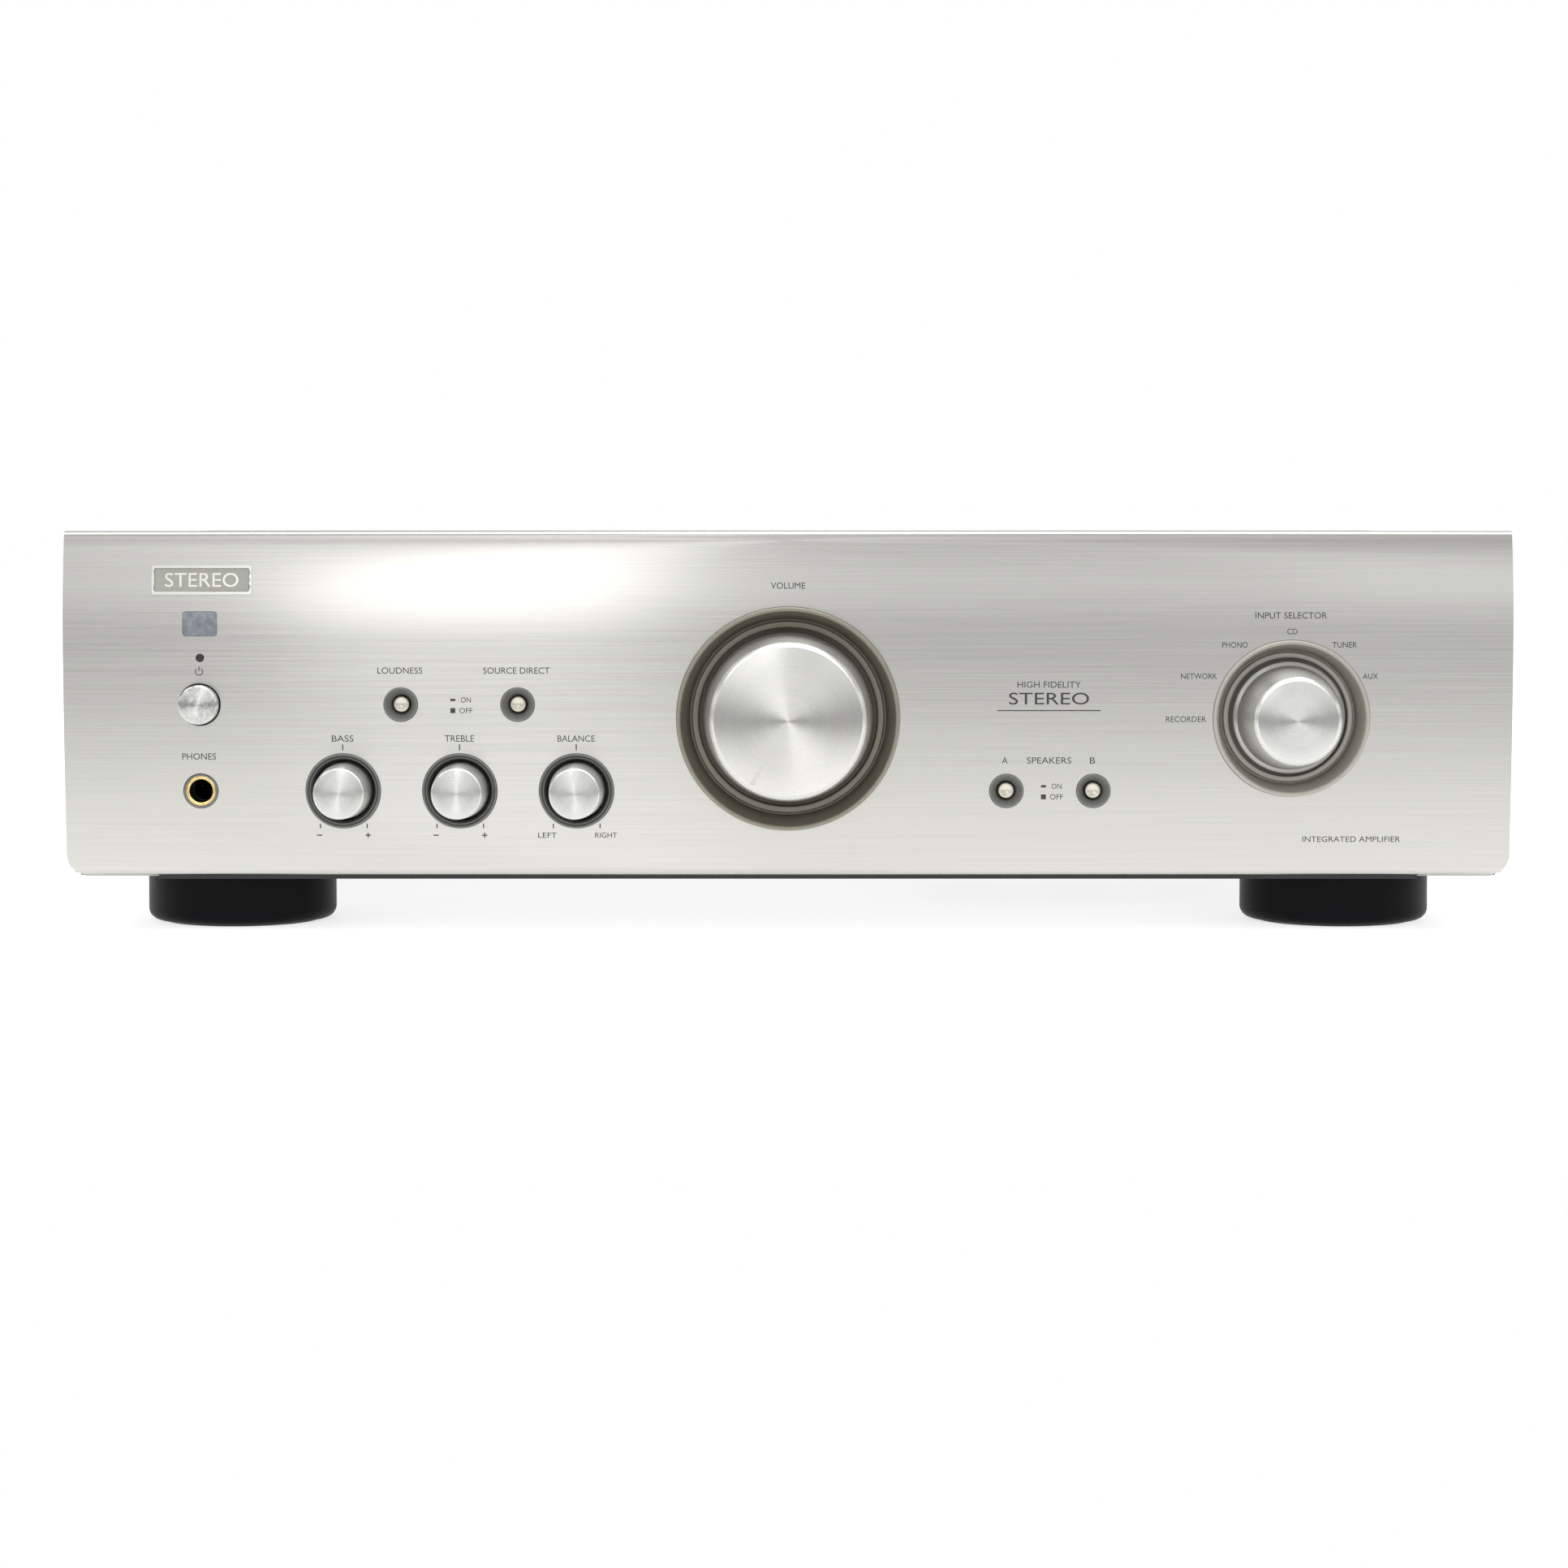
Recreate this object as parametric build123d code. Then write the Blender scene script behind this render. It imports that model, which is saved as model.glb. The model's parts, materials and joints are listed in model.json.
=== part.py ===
"""Integrated stereo amplifier, a full-width hi-fi separate, built as an assembly of separate pieces.

Millimetres. +X is right seen from the front, +Y runs from front to back, +Z is up.
The origin is on the surface that the feet stand on, at the middle of the overall width and depth.
Each function below makes one piece or one group of identical pieces; PARTS lists them by node name.
"""

from build123d import *
import os
from math import cos, radians, sin, sqrt

# ---------------------------------------------------------------- driving dimensions
WIDTH = 434.0
HEIGHT = 121.0
DEPTH = 307.0                 # front of the volume knob to the ends of the speaker terminals
KNOB_REACH = 16.0             # volume and selector knobs, from the panel's foremost line
TERMINAL_REACH = 17.0         # speaker terminals, from the rear panel
FOOT_HEIGHT = 16.0
SHEET = 1.0                   # folded steel sheet

PANEL_FRONT = -DEPTH / 2 + KNOB_REACH      # y of the front panel's foremost line
REAR_FACE = DEPTH / 2 - TERMINAL_REACH     # y of the rear panel's outer face

# front panel: an extrusion, gently bowed below its foremost line and more strongly above it
PANEL_BOTTOM = FOOT_HEIGHT + 1.3
PANEL_THICKNESS = 7.0
PANEL_CREST_Z = 88.0
BOW_RADIUS_LOW = 760.0
BOW_RADIUS_HIGH = 130.0
LIP_HEIGHT = 1.8
LIP_SETBACK = 1.7
PANEL_CORNER = 6.5
PANEL_BOTTOM_ROUND = 3.0
PANEL_SIDE_ROUND = 0.8
PANEL_BACK = PANEL_FRONT + PANEL_THICKNESS

# case
COVER_HALF = WIDTH / 2 - 1.7
COVER_TOP = HEIGHT - 1.4
COVER_BEND = 3.0
COVER_BOTTOM = FOOT_HEIGHT + 2.0
COVER_FRONT = PANEL_BACK
COVER_BACK = REAR_FACE + SHEET
REAR_LIP = 10.0
TRAY_HALF = COVER_HALF - SHEET - 0.3
CASE_TOP = COVER_TOP - SHEET - 1.5         # top of what stands inside the cover's bends
TRAY_TOP = FOOT_HEIGHT + 1.2               # the tray's floor is a 1.2 mm sheet
TRAY_FLANGE = 22.0
TRAY_LIP_HALF = 190.0                      # lip under the foot of the front panel
WALL_FRONT = PANEL_FRONT + 16.5            # front wall of the tray, which carries the controls
WALL_BACK = WALL_FRONT + SHEET

# controls: x and z of each centre on the front panel
MAIN_ROW_Z = 64.8
LOWER_ROW_Z = 43.0
UPPER_ROW_Z = 69.0
VOLUME = (0.0, MAIN_ROW_Z)
SELECTOR = (150.8, MAIN_ROW_Z)
TONE_PITCH = 35.0
TONE_NAMES = ("bass", "treble", "balance")
TONE = {n: (-133.5 + i * TONE_PITCH, LOWER_ROW_Z) for i, n in enumerate(TONE_NAMES)}
BUTTONS = {
    "loudness": (-116.0, UPPER_ROW_Z),
    "direct": (-81.0, UPPER_ROW_Z),
    "speaker_a": (65.5, LOWER_ROW_Z),
    "speaker_b": (91.6, LOWER_ROW_Z),
}
LEFT_COLUMN_X = -176.0
POWER = (LEFT_COLUMN_X - 0.3, UPPER_ROW_Z)
LED = (LEFT_COLUMN_X, 83.0)
WINDOW = (LEFT_COLUMN_X, 93.2)
WINDOW_SIZE = (10.2, 7.2)
BADGE = (-175.4, 106.3)
BADGE_SIZE = (29.8, 8.7)
PHONES = (LEFT_COLUMN_X - 0.2, LOWER_ROW_Z)

FIT_GAP = 0.1                 # round a trim part in its hole
SHAFT_RADIUS = 3.0
SHAFT_CLEARANCE = 0.05
BUTTON_RADIUS = 2.5
BUTTON_ROD_RADIUS = 1.9
BUTTON_SINK = 2.2             # the small buttons' faces lie below their trim rings' rims
BUTTON_TRAVEL = 2.5
POWER_BUTTON_RADIUS = 5.9
POWER_HOLE_RADIUS = 6.4
JACK_RADIUS = 3.2             # quarter-inch headphone plug
BOARD_FRONT = WALL_BACK + 16.0
BOARD_THICKNESS = 1.6

# rear
RCA_COLUMNS = 7
RCA_PITCH_X = 17.0
RCA_FIRST_X = 72.0
RCA_ROWS_Z = (88.0, 70.0)
RCA_SLEEVE_RADIUS = 4.15
RCA_PIN_RADIUS = 1.6
POST_COLUMNS_X = (-95.0, -70.0, -33.0, -8.0)
POST_ROWS_Z = (94.0, 62.0)
BANANA_RADIUS = 2.05
POST_RADIUS = 3.4
CAP_RADIUS = 7.4
CAP_GAP = 0.4                 # between a closed cap and its plate
GROUND = (198.0, 52.0)
REAR_SCREW_X = (-205.0, -60.0, 60.0, 205.0)
REAR_SCREW_Z = 24.0
INLET = (-178.0, 52.0)
INLET_CAVITY = (24.0, 16.6, 15.0)
INLET_WALL = 2.6
INLET_SCREW_X = 20.0
INLET_FACE = REAR_FACE + 1.6

FOOT_X = 170.0
FOOT_Y = (PANEL_FRONT + 45.0, REAR_FACE - 41.0)
FOOT_RADIUS = 29.0
FOOT_POSITIONS = [(side * FOOT_X, y) for y in FOOT_Y for side in (-1, 1)]


# ---------------------------------------------------------------- helpers
def bow(z):
    """How far the panel's front lies behind its foremost line at height z."""
    radius = BOW_RADIUS_LOW if z < PANEL_CREST_Z else BOW_RADIUS_HIGH
    return radius - sqrt(radius**2 - (z - PANEL_CREST_Z) ** 2)


def front_y(z):
    """y of the panel's front surface at height z."""
    return PANEL_FRONT + bow(z)


def block(x0, x1, y0, y1, z0, z1):
    """A box between two corners."""
    size = Box(x1 - x0, y1 - y0, z1 - z0)
    return Pos((x0 + x1) / 2, (y0 + y1) / 2, (z0 + z1) / 2) * size


def rod_y(x, z, y0, y1, radius):
    """A round bar along Y from y0 to y1."""
    bar = Rot(90, 0, 0) * Cylinder(radius, y1 - y0)
    return Pos(x, (y0 + y1) / 2, z) * bar


def rod_z(x, y, z0, z1, radius):
    """A round bar along Z from z0 to z1."""
    return Pos(x, y, (z0 + z1) / 2) * Cylinder(radius, z1 - z0)


def turned_y(outline, x=0.0, z=0.0):
    """A turned piece about the Y direction through (x, z); the outline's points are (radius, y)."""
    face = make_face(Polyline(*outline, close=True))
    return Pos(x, 0, z) * revolve(face, Axis.Y)


def turned_z(outline, x, y):
    """A turned piece about the Z direction through (x, y); the outline's points are (radius, z)."""
    face = make_face(Plane.XZ * Polyline(*outline, close=True))
    return Pos(x, y, 0) * revolve(face, Axis.Z)


def prism_y(sketch, x, z, y0, y1):
    """A sketch drawn in X and Z, extended along Y from y0 to y1."""
    facing_back = Plane(origin=(x, y0, z), x_dir=(1, 0, 0), z_dir=(0, -1, 0))
    return extrude(facing_back * sketch, amount=-(y1 - y0))


def together(pieces):
    """Several separate solids as one group."""
    return Compound(children=list(pieces))


def skin(near, far):
    """The slice of the panel's bowed front between two depths behind its surface."""
    low, crest, high = PANEL_BOTTOM, PANEL_CREST_Z, HEIGHT - LIP_HEIGHT

    def curve(depth):
        lower_mid, upper_mid = (low + crest) / 2, (crest + high) / 2
        lower = ThreePointArc(*[(front_y(z) + depth, z) for z in (low, lower_mid, crest)])
        upper = ThreePointArc(*[(front_y(z) + depth, z) for z in (crest, upper_mid, high)])
        return lower + upper

    ends = [Line((front_y(z) + near, z), (front_y(z) + far, z)) for z in (low, high)]
    outline = Plane.YZ * (curve(near) + curve(far) + ends[0] + ends[1])
    return extrude(make_face(outline), amount=WIDTH / 2, both=True)


# ---------------------------------------------------------------- case
def panel_blank():
    """The bowed extrusion before its holes are cut."""
    low, crest, lip = PANEL_BOTTOM, PANEL_CREST_Z, HEIGHT - LIP_HEIGHT
    lip_y = front_y(lip)
    round_z = low + PANEL_BOTTOM_ROUND
    round_y = front_y(round_z)
    toe = (round_y + 0.3 * PANEL_BOTTOM_ROUND, low + 0.3 * PANEL_BOTTOM_ROUND)
    front = ThreePointArc((round_y + PANEL_BOTTOM_ROUND, low), toe, (round_y, round_z))
    front += ThreePointArc(*[(front_y(z), z) for z in (round_z, (round_z + crest) / 2, crest)])
    front += ThreePointArc(*[(front_y(z), z) for z in (crest, (crest + lip) / 2, lip)])
    lip_mid = (lip_y + 0.38 * LIP_SETBACK, lip + 0.62 * LIP_HEIGHT)
    front += ThreePointArc((lip_y, lip), lip_mid, (lip_y + LIP_SETBACK, HEIGHT))
    back = Polyline(
        (lip_y + LIP_SETBACK, HEIGHT), (PANEL_BACK, HEIGHT), (PANEL_BACK, low),
        (round_y + PANEL_BOTTOM_ROUND, low),
    )
    outline = Polyline(
        (-WIDTH / 2, HEIGHT + 1), (-WIDTH / 2, low), (WIDTH / 2, low), (WIDTH / 2, HEIGHT + 1), close=True
    )
    silhouette = make_face(outline)
    silhouette = fillet(silhouette.vertices().group_by(Axis.Y)[0], PANEL_CORNER)
    profile = Plane(origin=(-WIDTH / 2, 0, 0), x_dir=(0, 1, 0), z_dir=(1, 0, 0)) * make_face(front + back)
    bar = extrude(profile, amount=WIDTH)
    end_edges = [e for face in bar.faces().filter_by(Axis.X) for e in face.edges()]
    front_ends = [e for e in end_edges if e.center().Y < PANEL_BACK - 1]
    front_ends = [e for e in front_ends if low + 0.2 < e.center().Z < HEIGHT - 0.5]
    bar = fillet(front_ends, PANEL_SIDE_ROUND)
    return bar & prism_y(silhouette, 0, 0, PANEL_FRONT - 9, PANEL_BACK + 9)


def front_panel():
    panel = panel_blank()
    y0, y1 = PANEL_FRONT - 5, PANEL_BACK + 5
    panel -= rod_y(*VOLUME, y0, y1, VOLUME_RIM + FIT_GAP)
    panel -= rod_y(*SELECTOR, y0, y1, SELECTOR_RIM + FIT_GAP)
    for centre in TONE.values():
        panel -= rod_y(*centre, y0, y1, TONE_RIM + FIT_GAP)
    for centre in BUTTONS.values():
        panel -= rod_y(*centre, y0, y1, BUTTON_RIM + FIT_GAP)
    panel -= rod_y(*POWER, y0, y1, POWER_HOLE_RADIUS)
    panel -= rod_y(*LED, y0, y1, LED_RADIUS + FIT_GAP)
    panel -= rod_y(*PHONES, y0, y1, PHONES_RING_RADIUS + FIT_GAP)
    window = RectangleRounded(WINDOW_SIZE[0] + 0.2, WINDOW_SIZE[1] + 0.2, 1.0)
    panel -= prism_y(window, *WINDOW, y0, y1)
    seat = RectangleRounded(BADGE_SIZE[0] + 0.2, BADGE_SIZE[1] + 0.2, 0.7)
    panel -= prism_y(seat, *BADGE, y0, y1) & skin(-1.0, BADGE_SEAT)
    return panel


VENT_BANKS_Y = (-62.0, -14.0, 34.0, 82.0)
VENT_COLUMNS = 39
VENT_PITCH = 8.0
VENT_SLOT = (3.2, 38.0)
SIDE_VENT_COLUMNS = 12
SIDE_VENT_LENGTH = 26.0
SIDE_SCREW_Y = (-105.0, 5.0, 115.0)
COVER_SCREW_Z = 30.0
LIP_SCREW_X = (-190.0, -64.0, 64.0, 190.0)
LIP_SCREW_Z = COVER_TOP - 6.0
SCREW_SHANK = 1.5


def top_cover():
    outer = block(-COVER_HALF, COVER_HALF, COVER_FRONT, COVER_BACK, COVER_BOTTOM, COVER_TOP)
    outer = fillet(outer.edges().filter_by(Axis.Y).group_by(Axis.Z)[-1], COVER_BEND)
    inside = block(
        -COVER_HALF + SHEET, COVER_HALF - SHEET, COVER_FRONT - 1, REAR_FACE, 0, COVER_TOP - SHEET
    )
    inside = fillet(inside.edges().filter_by(Axis.Y).group_by(Axis.Z)[-1], COVER_BEND - SHEET)
    below_lip = block(
        -COVER_HALF + SHEET, COVER_HALF - SHEET, REAR_FACE - 1, COVER_BACK + 1, 0, COVER_TOP - REAR_LIP
    )
    cover = outer - inside - below_lip
    slot = Rot(0, 0, 90) * SlotOverall(VENT_SLOT[1], VENT_SLOT[0])
    first_x = -VENT_PITCH * (VENT_COLUMNS - 1) / 2
    slots = Sketch() + [
        Pos(first_x + i * VENT_PITCH, y) * slot for y in VENT_BANKS_Y for i in range(VENT_COLUMNS)
    ]
    cover -= extrude(Pos(0, 0, COVER_TOP - 5) * slots, amount=10)
    side_slot = Rot(0, 0, 90) * SlotOverall(SIDE_VENT_LENGTH, VENT_SLOT[0])
    side_slots = Sketch() + [
        Pos(20 + i * VENT_PITCH, 78) * side_slot for i in range(SIDE_VENT_COLUMNS)
    ]
    cover -= extrude(Plane.YZ * side_slots, amount=WIDTH, both=True)
    for y in SIDE_SCREW_Y:
        across = Pos(0, y, COVER_SCREW_Z) * Rot(0, 90, 0) * Cylinder(SCREW_SHANK + 0.1, WIDTH + 10)
        cover -= across
    for x in LIP_SCREW_X:
        cover -= rod_y(x, LIP_SCREW_Z, REAR_FACE - 1, COVER_BACK + 1, SCREW_SHANK + 0.1)
    return cover


def chassis_tray():
    """Folded steel tray: floor, side flanges, and the front wall that the controls bolt to."""
    back = REAR_FACE - SHEET
    tray = block(-TRAY_HALF, TRAY_HALF, WALL_FRONT, back, FOOT_HEIGHT, TRAY_TOP)
    tray += block(-TRAY_LIP_HALF, TRAY_LIP_HALF, PANEL_BACK, WALL_FRONT, FOOT_HEIGHT, TRAY_TOP)
    tray += block(-TRAY_HALF, TRAY_HALF, back - SHEET, back, FOOT_HEIGHT, REAR_SCREW_Z + 6)
    for x in REAR_SCREW_X:
        tray -= rod_y(x, REAR_SCREW_Z, back - 5, back + 1, SCREW_SHANK + 0.05)
    for side in (-1, 1):
        x0, x1 = sorted((side * TRAY_HALF, side * (TRAY_HALF - SHEET)))
        tray += block(x0, x1, WALL_FRONT, back, FOOT_HEIGHT, TRAY_TOP + TRAY_FLANGE)
    tray += block(-TRAY_HALF, TRAY_HALF, WALL_FRONT, WALL_BACK, FOOT_HEIGHT, CASE_TOP)
    y0, y1 = WALL_FRONT - 1, WALL_BACK + 1
    for centre in (VOLUME, SELECTOR, *TONE.values()):
        tray -= rod_y(*centre, y0, y1, BUSHING_RADIUS + 0.2)
    for centre in BUTTONS.values():
        tray -= rod_y(*centre, y0, y1, BUTTON_ROD_RADIUS + 0.8)
    tray -= rod_y(*POWER, y0, y1, POWER_ROD_RADIUS + 0.8)
    tray -= rod_y(*PHONES, y0, y1, PHONES_RING_RADIUS)
    tray -= block(WINDOW[0] - 6, WINDOW[0] + 6, y0, y1, LED[1] - 2, WINDOW[1] + 5)
    for x, y in FOOT_POSITIONS:
        tray -= rod_z(x, y, 0, 40, FOOT_SCREW_RADIUS + 0.05)
    slot = SlotOverall(30.0, 3.0)
    vents = Sketch() + [
        Pos(60 + col * 36, row * 8 - 40) * slot for col in range(3) for row in range(9)
    ]
    tray -= extrude(vents, amount=40)
    for y in SIDE_SCREW_Y:
        across = Pos(0, y, COVER_SCREW_Z) * Rot(0, 90, 0) * Cylinder(SCREW_SHANK + 0.05, WIDTH)
        tray -= across
    return tray


def rear_panel():
    y0, y1 = REAR_FACE - SHEET, REAR_FACE
    plate = block(-TRAY_HALF, TRAY_HALF, y0, y1, FOOT_HEIGHT, CASE_TOP)
    cut0, cut1 = y0 - 1, y1 + 1
    for x, z in rca_centres():
        plate -= rod_y(x, z, cut0, cut1, RCA_COLLAR_RADIUS + 0.1)
    for x, z in post_centres():
        plate -= rod_y(x, z, cut0, cut1, POST_COLLAR_RADIUS + 0.1)
    plate -= rod_y(*GROUND, cut0, cut1, GROUND_POST_RADIUS + 0.1)
    half_x = INLET_CAVITY[0] / 2 + INLET_WALL + 0.1
    half_z = INLET_CAVITY[1] / 2 + INLET_WALL + 0.1
    plate -= block(INLET[0] - half_x, INLET[0] + half_x, cut0, cut1, INLET[1] - half_z, INLET[1] + half_z)
    for x in LIP_SCREW_X:
        plate -= rod_y(x, LIP_SCREW_Z, cut0, cut1, SCREW_SHANK + 0.05)
    for x, z, _ in rear_screws():
        plate -= rod_y(x, z, cut0, cut1, SCREW_SHANK + 0.05)
    return plate


FRAME_WALL = 3.0
FRAME_RIBS_X = (-152.0, -48.0, 46.0, 112.0, 192.0)


def front_frame():
    """Moulded frame that holds the front panel off the tray's front wall."""
    x0, x1, z0, z1 = -TRAY_HALF + 0.5, TRAY_HALF - 0.5, TRAY_TOP, CASE_TOP
    wall = FRAME_WALL
    frame = block(x0, x1, PANEL_BACK, WALL_FRONT, z0, z1)
    frame -= block(x0 + wall, x1 - wall, PANEL_BACK - 1, WALL_FRONT + 1, z0 + wall, z1 - wall)
    for x in FRAME_RIBS_X:
        frame += block(x - wall / 2, x + wall / 2, PANEL_BACK, WALL_FRONT, z0, z1)
    return frame


# ---------------------------------------------------------------- fasteners
SCREW_HEAD_RADIUS = 3.1
SCREW_HEAD_HEIGHT = 1.2
SCREW_LENGTH = 6.0
FOOT_SCREW_RADIUS = 1.9


def pan_screw():
    """Pan-head screw with a cross recess; the head's underside is at z 0 and the shank points down."""
    edge = SCREW_HEAD_RADIUS
    top = SCREW_HEAD_HEIGHT
    outline = [(0, top), (edge * 0.55, top), (edge * 0.9, top * 0.7), (edge, top * 0.3), (edge, 0)]
    outline += [(SCREW_SHANK, 0), (SCREW_SHANK, -SCREW_LENGTH), (0, -SCREW_LENGTH)]
    screw = revolve(make_face(Plane.XZ * Polyline(*outline, close=True)), Axis.Z)
    for turn in (0, 90):
        screw -= Pos(0, 0, top) * Rot(0, 0, turn) * Box(3.2, 0.7, 1.2)
    return screw


def jack_block_screws():
    """x and z of the two screws between the columns of the input sockets."""
    last_x = RCA_FIRST_X + (RCA_COLUMNS - 1) * RCA_PITCH_X
    return [(RCA_FIRST_X + RCA_PITCH_X * 1.5, 79.0), (last_x - RCA_PITCH_X * 1.5, 79.0)]


def terminal_screws():
    """x and z of the two screws in the middle of the speaker terminal plate."""
    return [((POST_COLUMNS_X[1] + POST_COLUMNS_X[2]) / 2, z) for z in POST_ROWS_Z]


def inlet_screws():
    return [(INLET[0] + side * INLET_SCREW_X, INLET[1]) for side in (-1, 1)]


def rear_screws():
    """x and z of every screw that passes through the rear panel, with the y of its seat."""
    flush = jack_block_screws() + [(x, REAR_SCREW_Z) for x in REAR_SCREW_X]
    placed = [(x, z, REAR_FACE) for x, z in flush]
    placed += [(x, z, REAR_FACE + TERMINAL_PLATE) for x, z in terminal_screws()]
    return placed + [(x, z, INLET_FACE) for x, z in inlet_screws()]


def case_screws():
    screw = pan_screw()
    placed = []
    for side in (-1, 1):
        for y in SIDE_SCREW_Y:
            placed.append(Pos(side * COVER_HALF, y, COVER_SCREW_Z) * Rot(0, side * 90, 0) * screw)
    for x in LIP_SCREW_X:
        placed.append(Pos(x, COVER_BACK, LIP_SCREW_Z) * Rot(-90, 0, 0) * screw)
    for x, z, seat in rear_screws():
        placed.append(Pos(x, seat, z) * Rot(-90, 0, 0) * screw)
    return together(placed)


# ---------------------------------------------------------------- feet
PAD_INNER = 15.0
PAD_OUTER = 24.0
PAD_SEAT = 1.1
PAD_THICKNESS = 1.6
FOOT_SCREW_HEAD = 4.2
FOOT_WELL = 6.5


def foot(x, y):
    """Moulded foot: a drum with a rounded lower edge, a seat for the pad and a well for its screw."""
    plastic_bottom = PAD_THICKNESS - PAD_SEAT
    body = rod_z(x, y, plastic_bottom, FOOT_HEIGHT, FOOT_RADIUS)
    body = fillet(body.edges().filter_by(GeomType.CIRCLE).group_by(Axis.Z)[0], 3.5)
    body = chamfer(body.edges().filter_by(GeomType.CIRCLE).group_by(Axis.Z)[-1], 0.4)
    seat = rod_z(x, y, -1, PAD_THICKNESS, PAD_OUTER) - rod_z(x, y, -2, PAD_THICKNESS + 1, PAD_INNER)
    body -= seat
    body -= rod_z(x, y, -1, FOOT_HEIGHT - 4.0, FOOT_WELL)
    body -= rod_z(x, y, -1, FOOT_HEIGHT + 1, FOOT_SCREW_RADIUS + 0.05)
    return body


def feet():
    return together([foot(x, y) for x, y in FOOT_POSITIONS])


def foot_pads():
    rings = []
    for x, y in FOOT_POSITIONS:
        ring = rod_z(x, y, 0, PAD_THICKNESS, PAD_OUTER - FIT_GAP)
        rings.append(ring - rod_z(x, y, -1, PAD_THICKNESS + 1, PAD_INNER + FIT_GAP))
    return together(rings)


def foot_screws():
    screws = []
    shelf = FOOT_HEIGHT - 4.0
    for x, y in FOOT_POSITIONS:
        outline = [(0, shelf - 2.4), (FOOT_SCREW_HEAD * 0.7, shelf - 2.4), (FOOT_SCREW_HEAD, shelf - 1.2)]
        outline += [(FOOT_SCREW_HEAD, shelf), (FOOT_SCREW_RADIUS, shelf)]
        outline += [(FOOT_SCREW_RADIUS, TRAY_TOP + 4), (0, TRAY_TOP + 4)]
        screw = turned_z(outline, x, y)
        for turn in (0, 90):
            screw -= Pos(x, y, shelf - 2.4) * Rot(0, 0, turn) * Box(4.4, 0.9, 2.0)
        screws.append(screw)
    return together(screws)


# ---------------------------------------------------------------- trim rings round the controls
VOLUME_RIM = 33.5
SELECTOR_RIM = 23.5
TONE_RIM = 11.25
BUTTON_RIM = 5.1
BUSHING_RADIUS = 4.5
RING_FLANGE = 2.5
RING_FLANGE_THICKNESS = 1.2


def well_ring(centre, rim_radius, rim_y, floor_radius, step_radius, depth):
    """A dished trim ring: rim, sloping wall, dark groove, flat step, and a floor round the shaft.

    It is pushed in from behind the panel until its flange meets the panel's back.
    """
    groove_y = rim_y + depth
    step_y = groove_y - 0.7
    flange_y = PANEL_BACK
    floor_y = groove_y + 2.0
    back_y = max(floor_y + 1.0, flange_y + RING_FLANGE_THICKNESS)
    outline = [
        (BUSHING_RADIUS + 3.0, floor_y),
        (step_radius, floor_y),
        (step_radius, step_y),
        (floor_radius - 0.5, step_y),
        (floor_radius - 0.5, groove_y),
        (floor_radius, groove_y),
        (rim_radius - 1.1, rim_y + 0.25),
        (rim_radius - 0.8, rim_y),
        (rim_radius - 0.4, rim_y),
        (rim_radius, rim_y + 0.4),
        (rim_radius, flange_y),
        (rim_radius + RING_FLANGE, flange_y),
        (rim_radius + RING_FLANGE, flange_y + RING_FLANGE_THICKNESS),
        (rim_radius - 0.6, flange_y + RING_FLANGE_THICKNESS),
        (rim_radius - 0.6, back_y),
        (BUSHING_RADIUS + 3.0, back_y),
    ]
    return turned_y(outline, *centre)


VOLUME_RIM_Y = PANEL_FRONT - 2.4
SELECTOR_RIM_Y = PANEL_FRONT - 0.6
TONE_RIM_Y = front_y(LOWER_ROW_Z) - 0.8
WELL_GROOVE_Y = PANEL_FRONT + 9.6


def volume_bezel():
    return well_ring(VOLUME, VOLUME_RIM, VOLUME_RIM_Y, 29.4, 26.7, WELL_GROOVE_Y - VOLUME_RIM_Y)


def selector_bezel():
    return well_ring(SELECTOR, SELECTOR_RIM, SELECTOR_RIM_Y, 20.0, 17.6, WELL_GROOVE_Y - SELECTOR_RIM_Y)


def tone_bezel(centre):
    """Narrow trim ring of a tone control."""
    rim, y = TONE_RIM, TONE_RIM_Y
    flange_y = PANEL_BACK
    floor_y = y + 8.0
    outline = [
        (BUSHING_RADIUS + 1.0, floor_y),
        (9.0, floor_y),
        (9.0, y + 5.0),
        (9.6, y + 5.0),
        (9.6, y + 5.6),
        (9.9, y + 5.6),
        (10.5, y + 0.2),
        (10.7, y),
        (11.0, y),
        (rim, y + 0.25),
        (rim, flange_y),
        (rim + 1.6, flange_y),
        (rim + 1.6, flange_y + RING_FLANGE_THICKNESS),
        (rim - 0.4, flange_y + RING_FLANGE_THICKNESS),
        (rim - 0.4, floor_y + 1.0),
        (BUSHING_RADIUS + 1.0, floor_y + 1.0),
    ]
    return turned_y(outline, *centre)


def button_bezel(centre):
    """Small funnel that leads a fingertip to a recessed button."""
    y = front_y(centre[1]) - 0.5
    flange_y = PANEL_BACK
    bore = BUTTON_RADIUS + 0.3
    outline = [
        (bore, y + 3.4),
        (3.3, y + 3.0),
        (4.6, y + 0.2),
        (4.75, y),
        (4.9, y),
        (BUTTON_RIM, y + 0.2),
        (BUTTON_RIM, flange_y),
        (BUTTON_RIM + 1.4, flange_y),
        (BUTTON_RIM + 1.4, flange_y + RING_FLANGE_THICKNESS),
        (bore, flange_y + RING_FLANGE_THICKNESS),
    ]
    return turned_y(outline, *centre)


def small_bezels():
    rings = [tone_bezel(centre) for centre in TONE.values()]
    return together(rings + [button_bezel(centre) for centre in BUTTONS.values()])


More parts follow.
